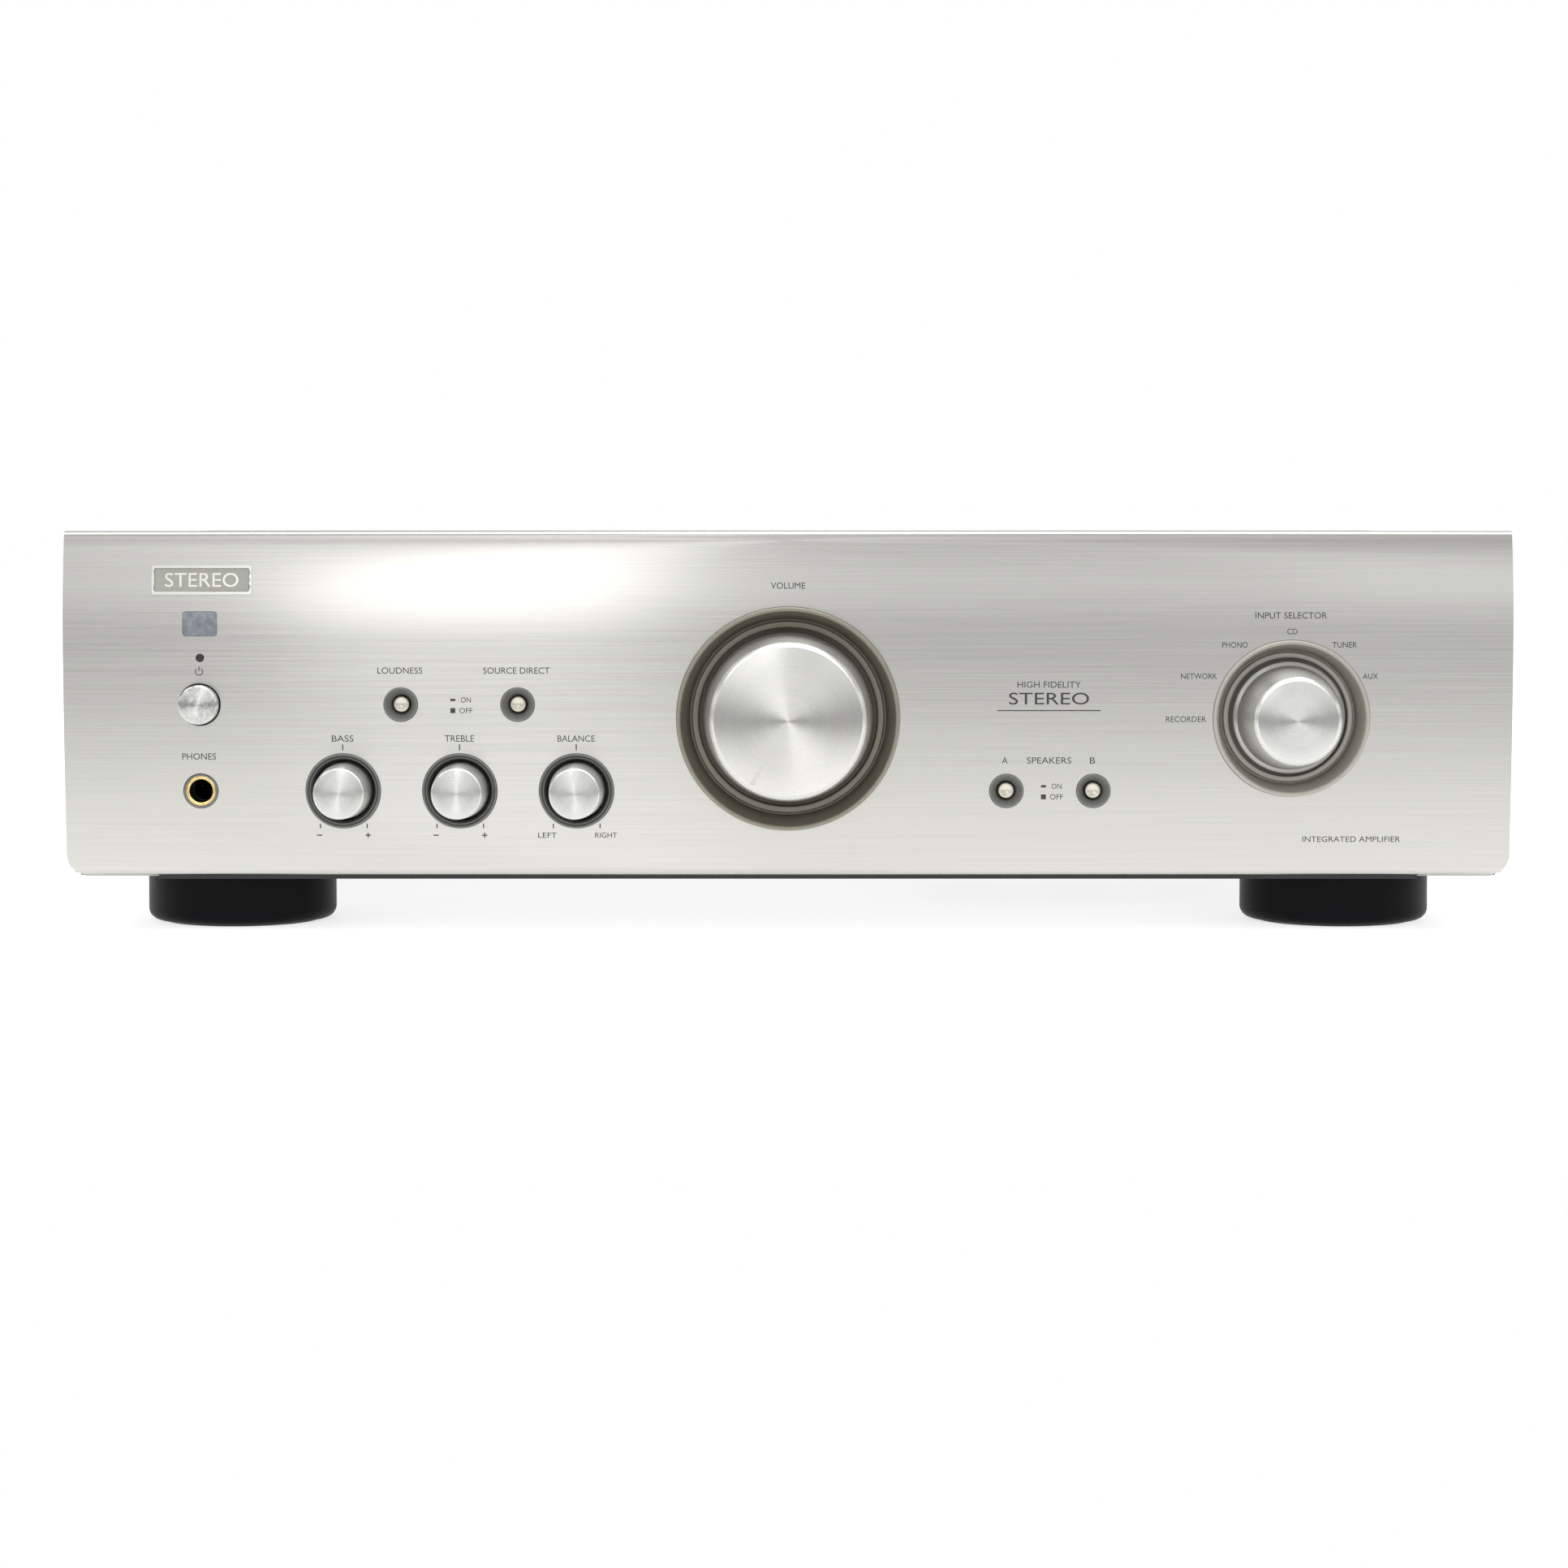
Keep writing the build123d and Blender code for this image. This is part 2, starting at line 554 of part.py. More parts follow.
# ---------------------------------------------------------------- knobs and their shafts
def knob(centre, face_y, base_y, face_radius, base_radius, skirt=0.0, wall=2.2, hub_wall=2.6):
    """Turned aluminium knob: flat spun face, small bright chamfer, tapered side, hub for the shaft."""
    hub = SHAFT_RADIUS + hub_wall
    inner_y = face_y + 3.0
    outline = [
        (0, face_y),
        (face_radius - 0.45, face_y),
        (face_radius, face_y + 0.45),
        (base_radius, base_y - 2.2),
        (base_radius + skirt, base_y - 2.0),
        (base_radius + skirt, base_y),
        (base_radius - wall, base_y),
        (face_radius - wall - 0.6, inner_y),
        (hub, inner_y),
        (hub, base_y - 1.0),
        (SHAFT_RADIUS, base_y - 1.0),
        (SHAFT_RADIUS, face_y + 5.0),
        (0, face_y + 5.0),
    ]
    return turned_y(outline, *centre)


BIG_KNOB_FACE_Y = PANEL_FRONT - KNOB_REACH
BIG_KNOB_BASE_Y = PANEL_FRONT + 8.0
TONE_KNOB_FACE_Y = TONE_RIM_Y - 12.0
TONE_KNOB_BASE_Y = TONE_RIM_Y + 6.4
VOLUME_POINTER = -150.0        # degrees from the top, clockwise positive
VOLUME_FACE_RADIUS = 23.3


def volume_knob():
    """The volume knob, with the short notch that points at the set level cut across its face's edge."""
    body = knob(VOLUME, BIG_KNOB_FACE_Y, BIG_KNOB_BASE_Y, VOLUME_FACE_RADIUS, 25.6)
    reach = VOLUME_FACE_RADIUS - 3.4
    angle = radians(VOLUME_POINTER)
    x, z = VOLUME[0] + reach * sin(angle), VOLUME[1] + reach * cos(angle)
    notch = Pos(x, BIG_KNOB_FACE_Y, z) * Rot(0, VOLUME_POINTER, 0) * Box(0.7, 0.5, 4.6)
    return body - notch


def selector_knob():
    return knob(SELECTOR, BIG_KNOB_FACE_Y, BIG_KNOB_BASE_Y, 12.9, 15.6, skirt=1.2)


TONE_POINTER = {"bass": 48.0, "treble": -8.0, "balance": 0.0}


def tone_knob(name):
    """A tone knob with its pointer notch; the notch stands at the control's set position."""
    x, z = TONE[name]
    body = knob((x, z), TONE_KNOB_FACE_Y, TONE_KNOB_BASE_Y, 7.65, 8.6, wall=1.4, hub_wall=1.3)
    angle = radians(TONE_POINTER[name])
    notch_x, notch_z = x + 5.9 * sin(angle), z + 5.9 * cos(angle)
    notch = Pos(notch_x, TONE_KNOB_FACE_Y, notch_z) * Rot(0, TONE_POINTER[name], 0) * Box(0.5, 0.4, 2.2)
    return body - notch


def shaft(centre, face_y, end_y):
    """Round shaft from inside a knob's hub back into the control that it turns."""
    return rod_y(*centre, face_y + 5.2, end_y, SHAFT_RADIUS)


SHAFT_END_Y = WALL_BACK + 9.0


# ---------------------------------------------------------------- push buttons
def push_button(centre):
    """Small latching button: domed face, head, and the rod that reaches its switch."""
    face_y = front_y(centre[1]) - 0.5 + BUTTON_SINK
    edge = BUTTON_RADIUS
    outline = [
        (0, face_y + 0.35),
        (edge * 0.35, face_y + 0.3),
        (edge * 0.7, face_y),
        (edge * 0.88, face_y + 0.1),
        (edge, face_y + 0.5),
        (edge, face_y + 7.0),
        (BUTTON_ROD_RADIUS, face_y + 7.0),
        (BUTTON_ROD_RADIUS, ROD_END_Y),
        (0, ROD_END_Y),
    ]
    return turned_y(outline, *centre)


POWER_FACE_Y = front_y(UPPER_ROW_Z) - 4.0
POWER_ROD_RADIUS = 3.0
ROD_END_Y = WALL_BACK + 4.0


def power_button():
    face, edge = POWER_FACE_Y, POWER_BUTTON_RADIUS
    outline = [
        (0, face),
        (edge - 0.5, face),
        (edge, face + 0.5),
        (edge, face + 14.0),
        (POWER_ROD_RADIUS, face + 14.0),
        (POWER_ROD_RADIUS, ROD_END_Y),
        (0, ROD_END_Y),
    ]
    return turned_y(outline, *POWER)


# ---------------------------------------------------------------- small front pieces
LED_RADIUS = 1.15
BADGE_SEAT = 0.5
BADGE_RAISE = 0.5
PHONES_RING_RADIUS = 5.2
JACK_BODY = (16.0, 16.0)
JACK_BORE_LENGTH = 31.0


def power_led():
    """Round light pipe with a low dome."""
    surface = front_y(LED[1])
    radius = LED_RADIUS
    outline = [
        (0, surface - 0.45),
        (radius * 0.6, surface - 0.35),
        (radius, surface),
        (radius, PANEL_BACK + 3.0),
        (0, PANEL_BACK + 3.0),
    ]
    return turned_y(outline, *LED)


def remote_window():
    """Dark lens in front of the remote-control receiver, flush with the bowed panel."""
    lens = RectangleRounded(*WINDOW_SIZE, 0.9)
    return prism_y(lens, *WINDOW, PANEL_FRONT - 5, PANEL_BACK + 5) & skin(-0.05, 3.4)


def name_badge():
    """Blank badge plate that follows the panel's bow, with a raised border."""
    outer = RectangleRounded(*BADGE_SIZE, 0.6)
    inner = RectangleRounded(BADGE_SIZE[0] - 1.6, BADGE_SIZE[1] - 1.6, 0.3)
    y0, y1 = PANEL_FRONT - 5, PANEL_BACK + 5
    plate = prism_y(outer, *BADGE, y0, y1) & skin(-BADGE_RAISE, BADGE_SEAT)
    hollow = prism_y(inner, *BADGE, y0, y1) & skin(-BADGE_RAISE - 0.5, -BADGE_RAISE + 0.3)
    return plate - hollow


def phones_ring():
    """Gold-plated bushing of the headphone socket."""
    y = front_y(PHONES[1]) - 0.4
    end = PANEL_BACK + 1.5
    outline = [
        (JACK_RADIUS, y + 0.5),
        (JACK_RADIUS + 0.5, y),
        (PHONES_RING_RADIUS - 0.5, y),
        (PHONES_RING_RADIUS, y + 0.5),
        (PHONES_RING_RADIUS, end),
        (JACK_RADIUS, end),
    ]
    return turned_y(outline, *PHONES)


def phones_jack():
    """Moulded body of the headphone socket, with the plug's bore."""
    x, z = PHONES
    y0 = PANEL_BACK + 1.5
    y1 = front_y(z) - 0.4 + JACK_BORE_LENGTH + 3.0
    half_x, half_z = JACK_BODY[0] / 2, JACK_BODY[1] / 2
    nose = rod_y(x, z, y0, WALL_BACK, PHONES_RING_RADIUS - 0.3)
    body = block(x - half_x, x + half_x, WALL_BACK, y1, z - half_z, z + half_z)
    bore = rod_y(x, z, y0 - 1, front_y(z) - 0.4 + JACK_BORE_LENGTH, JACK_RADIUS)
    return nose + body - bore


# ---------------------------------------------------------------- controls behind the wall
def pot_case(centre, width, height, depth):
    """Control body with its threaded bushing and the bore that the shaft turns in."""
    x, z = centre
    case = block(x - width / 2, x + width / 2, WALL_BACK, WALL_BACK + depth, z - height / 2, z + height / 2)
    case += rod_y(x, z, WALL_FRONT - 4.0, WALL_BACK, BUSHING_RADIUS)
    return case - rod_y(x, z, WALL_FRONT - 5.0, SHAFT_END_Y + 0.3, SHAFT_RADIUS + SHAFT_CLEARANCE)


def volume_pot():
    """Motor-driven potentiometer: case, gearbox and the round motor behind it."""
    x, z = VOLUME
    case = pot_case(VOLUME, 30.0, 30.0, 26.0)
    motor = rod_y(x, z + 2.0, WALL_BACK + 26.0, WALL_BACK + 50.0, 12.0)
    return case + motor


def selector_switch():
    x, z = SELECTOR
    case = pot_case(SELECTOR, 24.0, 24.0, 13.0)
    return case + rod_y(x, z, WALL_BACK + 13.0, WALL_BACK + 15.5, 9.0)


def tone_pots():
    return together([pot_case(centre, 17.0, 20.0, 13.0) for centre in TONE.values()])


def switch_case(centre, width, rod_radius):
    """Latching push switch with the pocket that its button's rod runs in."""
    x, z = centre
    half = width / 2
    case = block(x - half, x + half, WALL_BACK + 0.5, BOARD_FRONT - 0.3, z - half, z + half)
    return case - rod_y(x, z, WALL_BACK, ROD_END_Y + BUTTON_TRAVEL + 1.5, rod_radius + 0.3)


def push_switches():
    small = [switch_case(centre, 8.6, BUTTON_ROD_RADIUS) for centre in BUTTONS.values()]
    return together(small + [switch_case(POWER, 13.0, POWER_ROD_RADIUS)])


def control_board():
    """Upright board behind the controls, cut away round the motor and the headphone socket."""
    board = block(-200, 185, BOARD_FRONT, BOARD_FRONT + BOARD_THICKNESS, 26, 104)
    board -= rod_y(*VOLUME, BOARD_FRONT - 1, BOARD_FRONT + 5, 22.5)
    x, z = PHONES
    return board - block(x - 9, x + 9, BOARD_FRONT - 1, BOARD_FRONT + 5, z - 9, z + 9)


# ---------------------------------------------------------------- power supply and amplifier
TRANSFORMER = (-142.0, -18.0)
CORE_SIZE = (96.0, 56.0, 80.0)
CORE_LEG = 32.0
CORE_WINDOW = (16.0, 48.0)
CORE_BASE_Z = TRAY_TOP + 3.0
COIL_BUILD = 14.5
MAIN_BOARD_Z = TRAY_TOP + 9.0
MAIN_BOARD = (-78.0, 196.0, -88.0, 118.0)
SINK_Y = (-66.0, 96.0)
SINK_X = (-30.0, 34.0)
SINK_TOP = 104.0
SINK_WEB = 6.0
SINK_FINS = 15
SINK_FIN = 2.0
RESERVOIRS = ((80.0, -52.0), (120.0, -52.0))
CAPACITOR_RADIUS = 15.0
CAPACITOR_TOP = 76.0


def transformer_core():
    """Laminated core with two windows, on the strap that screws to the tray."""
    x, y = TRANSFORMER
    width, stack, height = CORE_SIZE
    z0 = CORE_BASE_Z
    core = block(x - width / 2, x + width / 2, y - stack / 2, y + stack / 2, z0, z0 + height)
    for side in (-1, 1):
        centre = x + side * (CORE_LEG / 2 + CORE_WINDOW[0] / 2)
        window_z = z0 + (height - CORE_WINDOW[1]) / 2
        core -= block(
            centre - CORE_WINDOW[0] / 2, centre + CORE_WINDOW[0] / 2,
            y - stack, y + stack, window_z, window_z + CORE_WINDOW[1],
        )
        foot_x0, foot_x1 = sorted((x + side * width / 2, x + side * (width / 2 - 12)))
        core += block(foot_x0, foot_x1, y - stack / 2 - 10, y + stack / 2 + 10, TRAY_TOP, z0)
    return core


def transformer_coil():
    """Wound bobbin round the core's middle leg."""
    x, y = TRANSFORMER
    gap = 0.3
    z0 = CORE_BASE_Z + (CORE_SIZE[2] - CORE_WINDOW[1]) / 2 + gap
    z1 = z0 + CORE_WINDOW[1] - 2 * gap
    half_x, half_y = CORE_LEG / 2 + gap, CORE_SIZE[1] / 2 + gap
    out_x, out_y = half_x + COIL_BUILD, half_y + COIL_BUILD
    coil = block(x - out_x, x + out_x, y - out_y, y + out_y, z0, z1)
    coil = fillet(coil.edges().filter_by(Axis.Z), 6.0)
    return coil - block(x - half_x, x + half_x, y - half_y, y + half_y, z0 - 1, z1 + 1)


def standoff_centres():
    x0, x1, y0, y1 = MAIN_BOARD
    return [(x, y) for x in (x0 + 6, (x0 + x1) / 2, x1 - 6) for y in (y0 + 6, y1 - 6)]


def main_board():
    x0, x1, y0, y1 = MAIN_BOARD
    board = block(x0, x1, y0, y1, MAIN_BOARD_Z, MAIN_BOARD_Z + BOARD_THICKNESS)
    for x, y in standoff_centres():
        board -= rod_z(x, y, 0, 50, STANDOFF_SCREW_RADIUS + 0.05)
    return board


STANDOFF_RADIUS = 3.2
STANDOFF_SCREW_RADIUS = 1.5


def board_standoffs():
    """Hexagon standoffs between the tray and the main board, with the screws that hold the board."""
    top = MAIN_BOARD_Z + BOARD_THICKNESS
    posts = []
    for x, y in standoff_centres():
        hexagon = Pos(x, y, TRAY_TOP) * RegularPolygon(STANDOFF_RADIUS, 6)
        post = extrude(hexagon, amount=MAIN_BOARD_Z - TRAY_TOP)
        post += rod_z(x, y, MAIN_BOARD_Z - 1, top + 1, STANDOFF_SCREW_RADIUS)
        posts.append(post + rod_z(x, y, top, top + 1.6, STANDOFF_SCREW_RADIUS + 1.3))
    return together(posts)


RELAYS_X = (-52.0, 84.0, 108.0)
SMALL_CANS = (                 # x, y, radius, height
    (154.0, -62.0, 8.0, 24.0), (154.0, -40.0, 8.0, 24.0), (178.0, -62.0, 5.0, 14.0),
    (178.0, -46.0, 5.0, 14.0), (-60.0, -50.0, 6.5, 18.0), (-60.0, -30.0, 6.5, 18.0),
    (70.0, 6.0, 5.0, 12.0), (86.0, 6.0, 5.0, 12.0), (118.0, 30.0, 5.0, 12.0), (134.0, 30.0, 5.0, 12.0),
)


def board_relays():
    """Speaker relays near the terminals and the mains relay, as sealed boxes."""
    z0 = MAIN_BOARD_Z + BOARD_THICKNESS
    return together([block(x - 9, x + 9, 88, 112, z0, z0 + 20) for x in RELAYS_X])


def heat_sink():
    """Extruded heat sink: an upright web with fins on both sides."""
    z0 = MAIN_BOARD_Z + BOARD_THICKNESS
    middle = (SINK_X[0] + SINK_X[1]) / 2
    sink = block(middle - SINK_WEB / 2, middle + SINK_WEB / 2, *SINK_Y, z0, SINK_TOP)
    pitch = (SINK_Y[1] - SINK_Y[0] - SINK_FIN) / (SINK_FINS - 1)
    for i in range(SINK_FINS):
        y = SINK_Y[0] + i * pitch
        sink += block(SINK_X[0], middle, y, y + SINK_FIN, z0 + 6, SINK_TOP)
        if y < -40 or y > 72:
            sink += block(middle, SINK_X[1], y, y + SINK_FIN, z0 + 6, SINK_TOP)
    return sink


def power_transistors():
    """Four output transistors clamped to the heat sink's bare side."""
    middle = (SINK_X[0] + SINK_X[1]) / 2 + SINK_WEB / 2
    cases = []
    for i in range(4):
        y = -24 + i * 28
        cases.append(block(middle, middle + 5, y - 8, y + 8, 48, 68))
    return together(cases)


def capacitors():
    """Electrolytic cans on the main board: two large reservoirs and the smaller ones round them."""
    z0 = MAIN_BOARD_Z + BOARD_THICKNESS
    cans = []
    for x, y, radius, height in SMALL_CANS:
        can = rod_z(x, y, z0, z0 + height, radius)
        cans.append(fillet(can.edges().filter_by(GeomType.CIRCLE).group_by(Axis.Z)[-1], 0.8))
    for x, y in RESERVOIRS:
        can = rod_z(x, y, z0, CAPACITOR_TOP, CAPACITOR_RADIUS)
        can = fillet(can.edges().filter_by(GeomType.CIRCLE).group_by(Axis.Z)[-1], 1.5)
        groove = rod_z(x, y, z0 + 3, z0 + 4.5, CAPACITOR_RADIUS + 1)
        groove -= rod_z(x, y, z0, z0 + 6, CAPACITOR_RADIUS - 0.8)
        cans.append(can - groove)
    return together(cans)


# ---------------------------------------------------------------- rear sockets
RCA_COLLAR_RADIUS = 5.6
RCA_COLLAR_REACH = 0.8
RCA_BODY_RADIUS = 3.3
RCA_REACH = 9.0
POST_COLLAR_RADIUS = 6.0
TERMINAL_PLATE = 3.0
GROUND_POST_RADIUS = 2.0
GROUND_CAP_RADIUS = 5.0


def rca_centres():
    return [(RCA_FIRST_X + i * RCA_PITCH_X, z) for z in RCA_ROWS_Z for i in range(RCA_COLUMNS)]


def post_centres():
    return [(x, z) for z in POST_ROWS_Z for x in POST_COLUMNS_X]


def input_jack_block():
    """Moulded socket housing inside the rear panel, with a collar through the panel for each socket."""
    x0, x1 = RCA_FIRST_X - 9, RCA_FIRST_X + (RCA_COLUMNS - 1) * RCA_PITCH_X + 9
    y1 = REAR_FACE - SHEET
    housing = block(x0, x1, y1 - 12, y1, RCA_ROWS_Z[1] - 10, RCA_ROWS_Z[0] + 10)
    for x, z in rca_centres():
        housing += rod_y(x, z, y1 - 1, REAR_FACE + RCA_COLLAR_REACH, RCA_COLLAR_RADIUS)
        housing -= rod_y(x, z, y1 - 20, REAR_FACE + 5, RCA_BODY_RADIUS)
    for x, z in jack_block_screws():
        housing -= rod_y(x, z, y1 - 8, REAR_FACE, SCREW_SHANK + 0.05)
    return housing


def input_jacks():
    """Socket contacts: a sleeve that a phono plug grips, with the centre hole for its pin."""
    jacks = []
    y0, y1 = REAR_FACE - 12.0, REAR_FACE + RCA_REACH
    for x, z in rca_centres():
        outline = [
            (RCA_PIN_RADIUS, y1 - 0.3),
            (RCA_PIN_RADIUS + 0.3, y1),
            (RCA_SLEEVE_RADIUS - 0.4, y1),
            (RCA_SLEEVE_RADIUS, y1 - 0.4),
            (RCA_SLEEVE_RADIUS, REAR_FACE + RCA_COLLAR_REACH),
            (RCA_BODY_RADIUS, REAR_FACE + RCA_COLLAR_REACH),
            (RCA_BODY_RADIUS, y0),
            (RCA_PIN_RADIUS, y0),
        ]
        jacks.append(turned_y(outline, x, z))
    return together(jacks)


def terminal_plate():
    """Moulded plate behind the speaker posts, with a guard between neighbouring posts."""
    x0, x1 = POST_COLUMNS_X[0] - 14, POST_COLUMNS_X[-1] + 14
    z0, z1 = POST_ROWS_Z[1] - 14, POST_ROWS_Z[0] + 14
    plate = block(x0, x1, REAR_FACE, REAR_FACE + TERMINAL_PLATE, z0, z1)
    plate = fillet(plate.edges().filter_by(Axis.Y), 3.0)
    for x, z in post_centres():
        plate += rod_y(x, z, REAR_FACE - 3.0, REAR_FACE + 1.0, POST_COLLAR_RADIUS)
        plate -= rod_y(x, z, REAR_FACE - 5.0, REAR_FACE + 9.0, POST_RADIUS)
    for x, z in terminal_screws():
        plate -= rod_y(x, z, REAR_FACE - 1, REAR_FACE + 9, SCREW_SHANK + 0.05)
    return plate


CAP_START_Y = REAR_FACE + TERMINAL_PLATE + CAP_GAP
CAP_LENGTH = TERMINAL_REACH - TERMINAL_PLATE - CAP_GAP


def speaker_posts():
    """Threaded posts with a banana socket in the end and a cross hole for bare wire."""
    posts = []
    y0, y1 = REAR_FACE - 8.0, CAP_START_Y + CAP_LENGTH - 1.0
    for x, z in post_centres():
        post = rod_y(x, z, y0, y1, POST_RADIUS)
        post += rod_y(x, z, y0, REAR_FACE - 3.2, POST_RADIUS + 2.0)
        post -= rod_y(x, z, y1 - 14.5, y1 + 1, BANANA_RADIUS)
        cross = Pos(x, CAP_START_Y + 2.2, z) * Cylinder(1.4, 3 * POST_RADIUS)
        posts.append(post - cross)
    return together(posts)


def speaker_cap(x, z):
    """Knurled screw cap of a speaker terminal, with finger grooves and the banana plug's hole."""
    y0, y1 = CAP_START_Y, CAP_START_Y + CAP_LENGTH
    outline = [
        (POST_RADIUS + 0.06, y0),
        (CAP_RADIUS - 0.9, y0),
        (CAP_RADIUS - 0.9, y0 + 1.2),
        (CAP_RADIUS, y0 + 2.0),
        (CAP_RADIUS, y1 - 1.6),
        (CAP_RADIUS - 1.2, y1),
        (BANANA_RADIUS + 0.6, y1),
        (BANANA_RADIUS + 0.3, y1 - 0.4),
        (BANANA_RADIUS + 0.3, y1 - 0.8),
        (POST_RADIUS + 0.06, y1 - 0.8),
    ]
    cap = turned_y(outline, x, z)
    for i in range(12):
        angle = radians(i * 30)
        gx, gz = x + (CAP_RADIUS + 0.35) * cos(angle), z + (CAP_RADIUS + 0.35) * sin(angle)
        cap -= rod_y(gx, gz, y0 + 1.6, y1 + 1, 0.8)
    return cap


def ground_post():
    x, z = GROUND
    post = rod_y(x, z, REAR_FACE - 6.0, REAR_FACE + 11.0, GROUND_POST_RADIUS)
    return post + rod_y(x, z, REAR_FACE, REAR_FACE + 1.2, 4.6)


def ground_cap():
    """Screw cap of the earth terminal for a turntable."""
    x, z = GROUND
    y0, y1 = REAR_FACE + 1.5, REAR_FACE + 10.5
    cap = rod_y(x, z, y0, y1, GROUND_CAP_RADIUS)
    cap = chamfer(cap.edges().filter_by(GeomType.CIRCLE), 0.6)
    cap -= rod_y(x, z, y0 - 1, y1 + 1, GROUND_POST_RADIUS + 0.06)
    for i in range(16):
        angle = radians(i * 22.5)
        reach = GROUND_CAP_RADIUS + 0.2
        cap -= rod_y(x + reach * cos(angle), z + reach * sin(angle), y0 - 1, y1 + 1, 0.5)
    return cap


def ac_inlet():
    """Three-blade mains inlet, screwed to the rear panel from outside."""
    x, z = INLET
    width, height, depth = INLET_CAVITY
    half_x, half_z = width / 2, height / 2
    wall = INLET_WALL
    y1 = INLET_FACE
    z0, z1 = z - half_z - wall, z + half_z + wall
    body = block(x - half_x - wall, x + half_x + wall, REAR_FACE - 22, y1, z0, z1)
    body += block(x - 25, x + 25, REAR_FACE, y1, z0, z1)
    for end in (0, -1):
        body = fillet(body.edges().filter_by(Axis.Y).group_by(Axis.X)[end], 4.0)
    cavity = block(x - half_x, x + half_x, y1 - depth, y1 + 1, z - half_z, z + half_z)
    cavity = chamfer(cavity.edges().filter_by(Axis.Y).group_by(Axis.Z)[-1], 5.0)
    body -= cavity
    for dx, dz in ((-7.0, -2.0), (0.0, 2.0), (7.0, -2.0)):
        body += block(x + dx - 1, x + dx + 1, y1 - depth - 0.5, y1 - 2.5, z + dz - 2, z + dz + 2)
    for side in (-1, 1):
        body -= rod_y(x + side * INLET_SCREW_X, z, REAR_FACE - 1, y1 + 1, SCREW_SHANK + 0.05)
    return body


# ---------------------------------------------------------------- the assembly
PARTS = {
    "front_panel": front_panel,
    "top_cover": top_cover,
    "chassis_tray": chassis_tray,
    "rear_panel": rear_panel,
    "front_frame": front_frame,
    "case_screws": case_screws,
    "feet": feet,
    "foot_pads": foot_pads,
    "foot_screws": foot_screws,
    "volume_bezel": volume_bezel,
    "volume_knob": volume_knob,
    "volume_shaft": lambda: shaft(VOLUME, BIG_KNOB_FACE_Y, SHAFT_END_Y),
    "selector_bezel": selector_bezel,
    "selector_knob": selector_knob,
    "selector_shaft": lambda: shaft(SELECTOR, BIG_KNOB_FACE_Y, SHAFT_END_Y),
    "small_bezels": small_bezels,
    "power_button": power_button,
    "power_led": power_led,
    "remote_window": remote_window,
    "name_badge": name_badge,
    "phones_ring": phones_ring,
    "phones_jack": phones_jack,
    "control_board": control_board,
    "volume_pot": volume_pot,
    "selector_switch": selector_switch,
    "tone_pots": tone_pots,
    "push_switches": push_switches,
    "transformer_core": transformer_core,
    "transformer_coil": transformer_coil,
    "main_board": main_board,
    "board_standoffs": board_standoffs,
    "board_relays": board_relays,
    "heat_sink": heat_sink,
    "power_transistors": power_transistors,
    "capacitors": capacitors,
    "input_jack_block": input_jack_block,
    "input_jacks": input_jacks,
    "terminal_plate": terminal_plate,
    "speaker_posts": speaker_posts,
    "ground_post": ground_post,
    "ground_cap": ground_cap,
    "ac_inlet": ac_inlet,
}
for tone in TONE_NAMES:
    PARTS[tone + "_knob"] = lambda n=tone: tone_knob(n)
    PARTS[tone + "_shaft"] = lambda n=tone: shaft(TONE[n], TONE_KNOB_FACE_Y, SHAFT_END_Y)
for name, centre in BUTTONS.items():
    PARTS[name + "_button"] = lambda c=centre: push_button(c)
for number, (post_x, post_z) in enumerate(post_centres(), 1):
    PARTS[f"speaker_cap_{number}"] = lambda x=post_x, z=post_z: speaker_cap(x, z)


def main():
    os.makedirs("parts", exist_ok=True)
    for node, make in PARTS.items():
        export_step(make(), f"parts/{node}.step")
    print(len(PARTS), "nodes written")


main()
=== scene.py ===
# %% [markdown]
# # An integrated stereo amplifier
#
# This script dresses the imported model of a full-width hi-fi amplifier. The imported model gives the
# places and sizes of every part and says what moves. Blender gives the finishes and the finer shapes:
# brushed and turned aluminium, moulded plastic, painted steel, printed lettering.
#
# The cells go in this order: load, camera, light, helpers, finishes, then one cell or two for each
# part, front first. Lengths are in metres, and MM turns a size in millimetres into metres.

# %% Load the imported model
import bmesh
import bpy
import json
from math import atan, cos, hypot, pi, radians, sin, sqrt, tau
from mathutils import Matrix, Vector

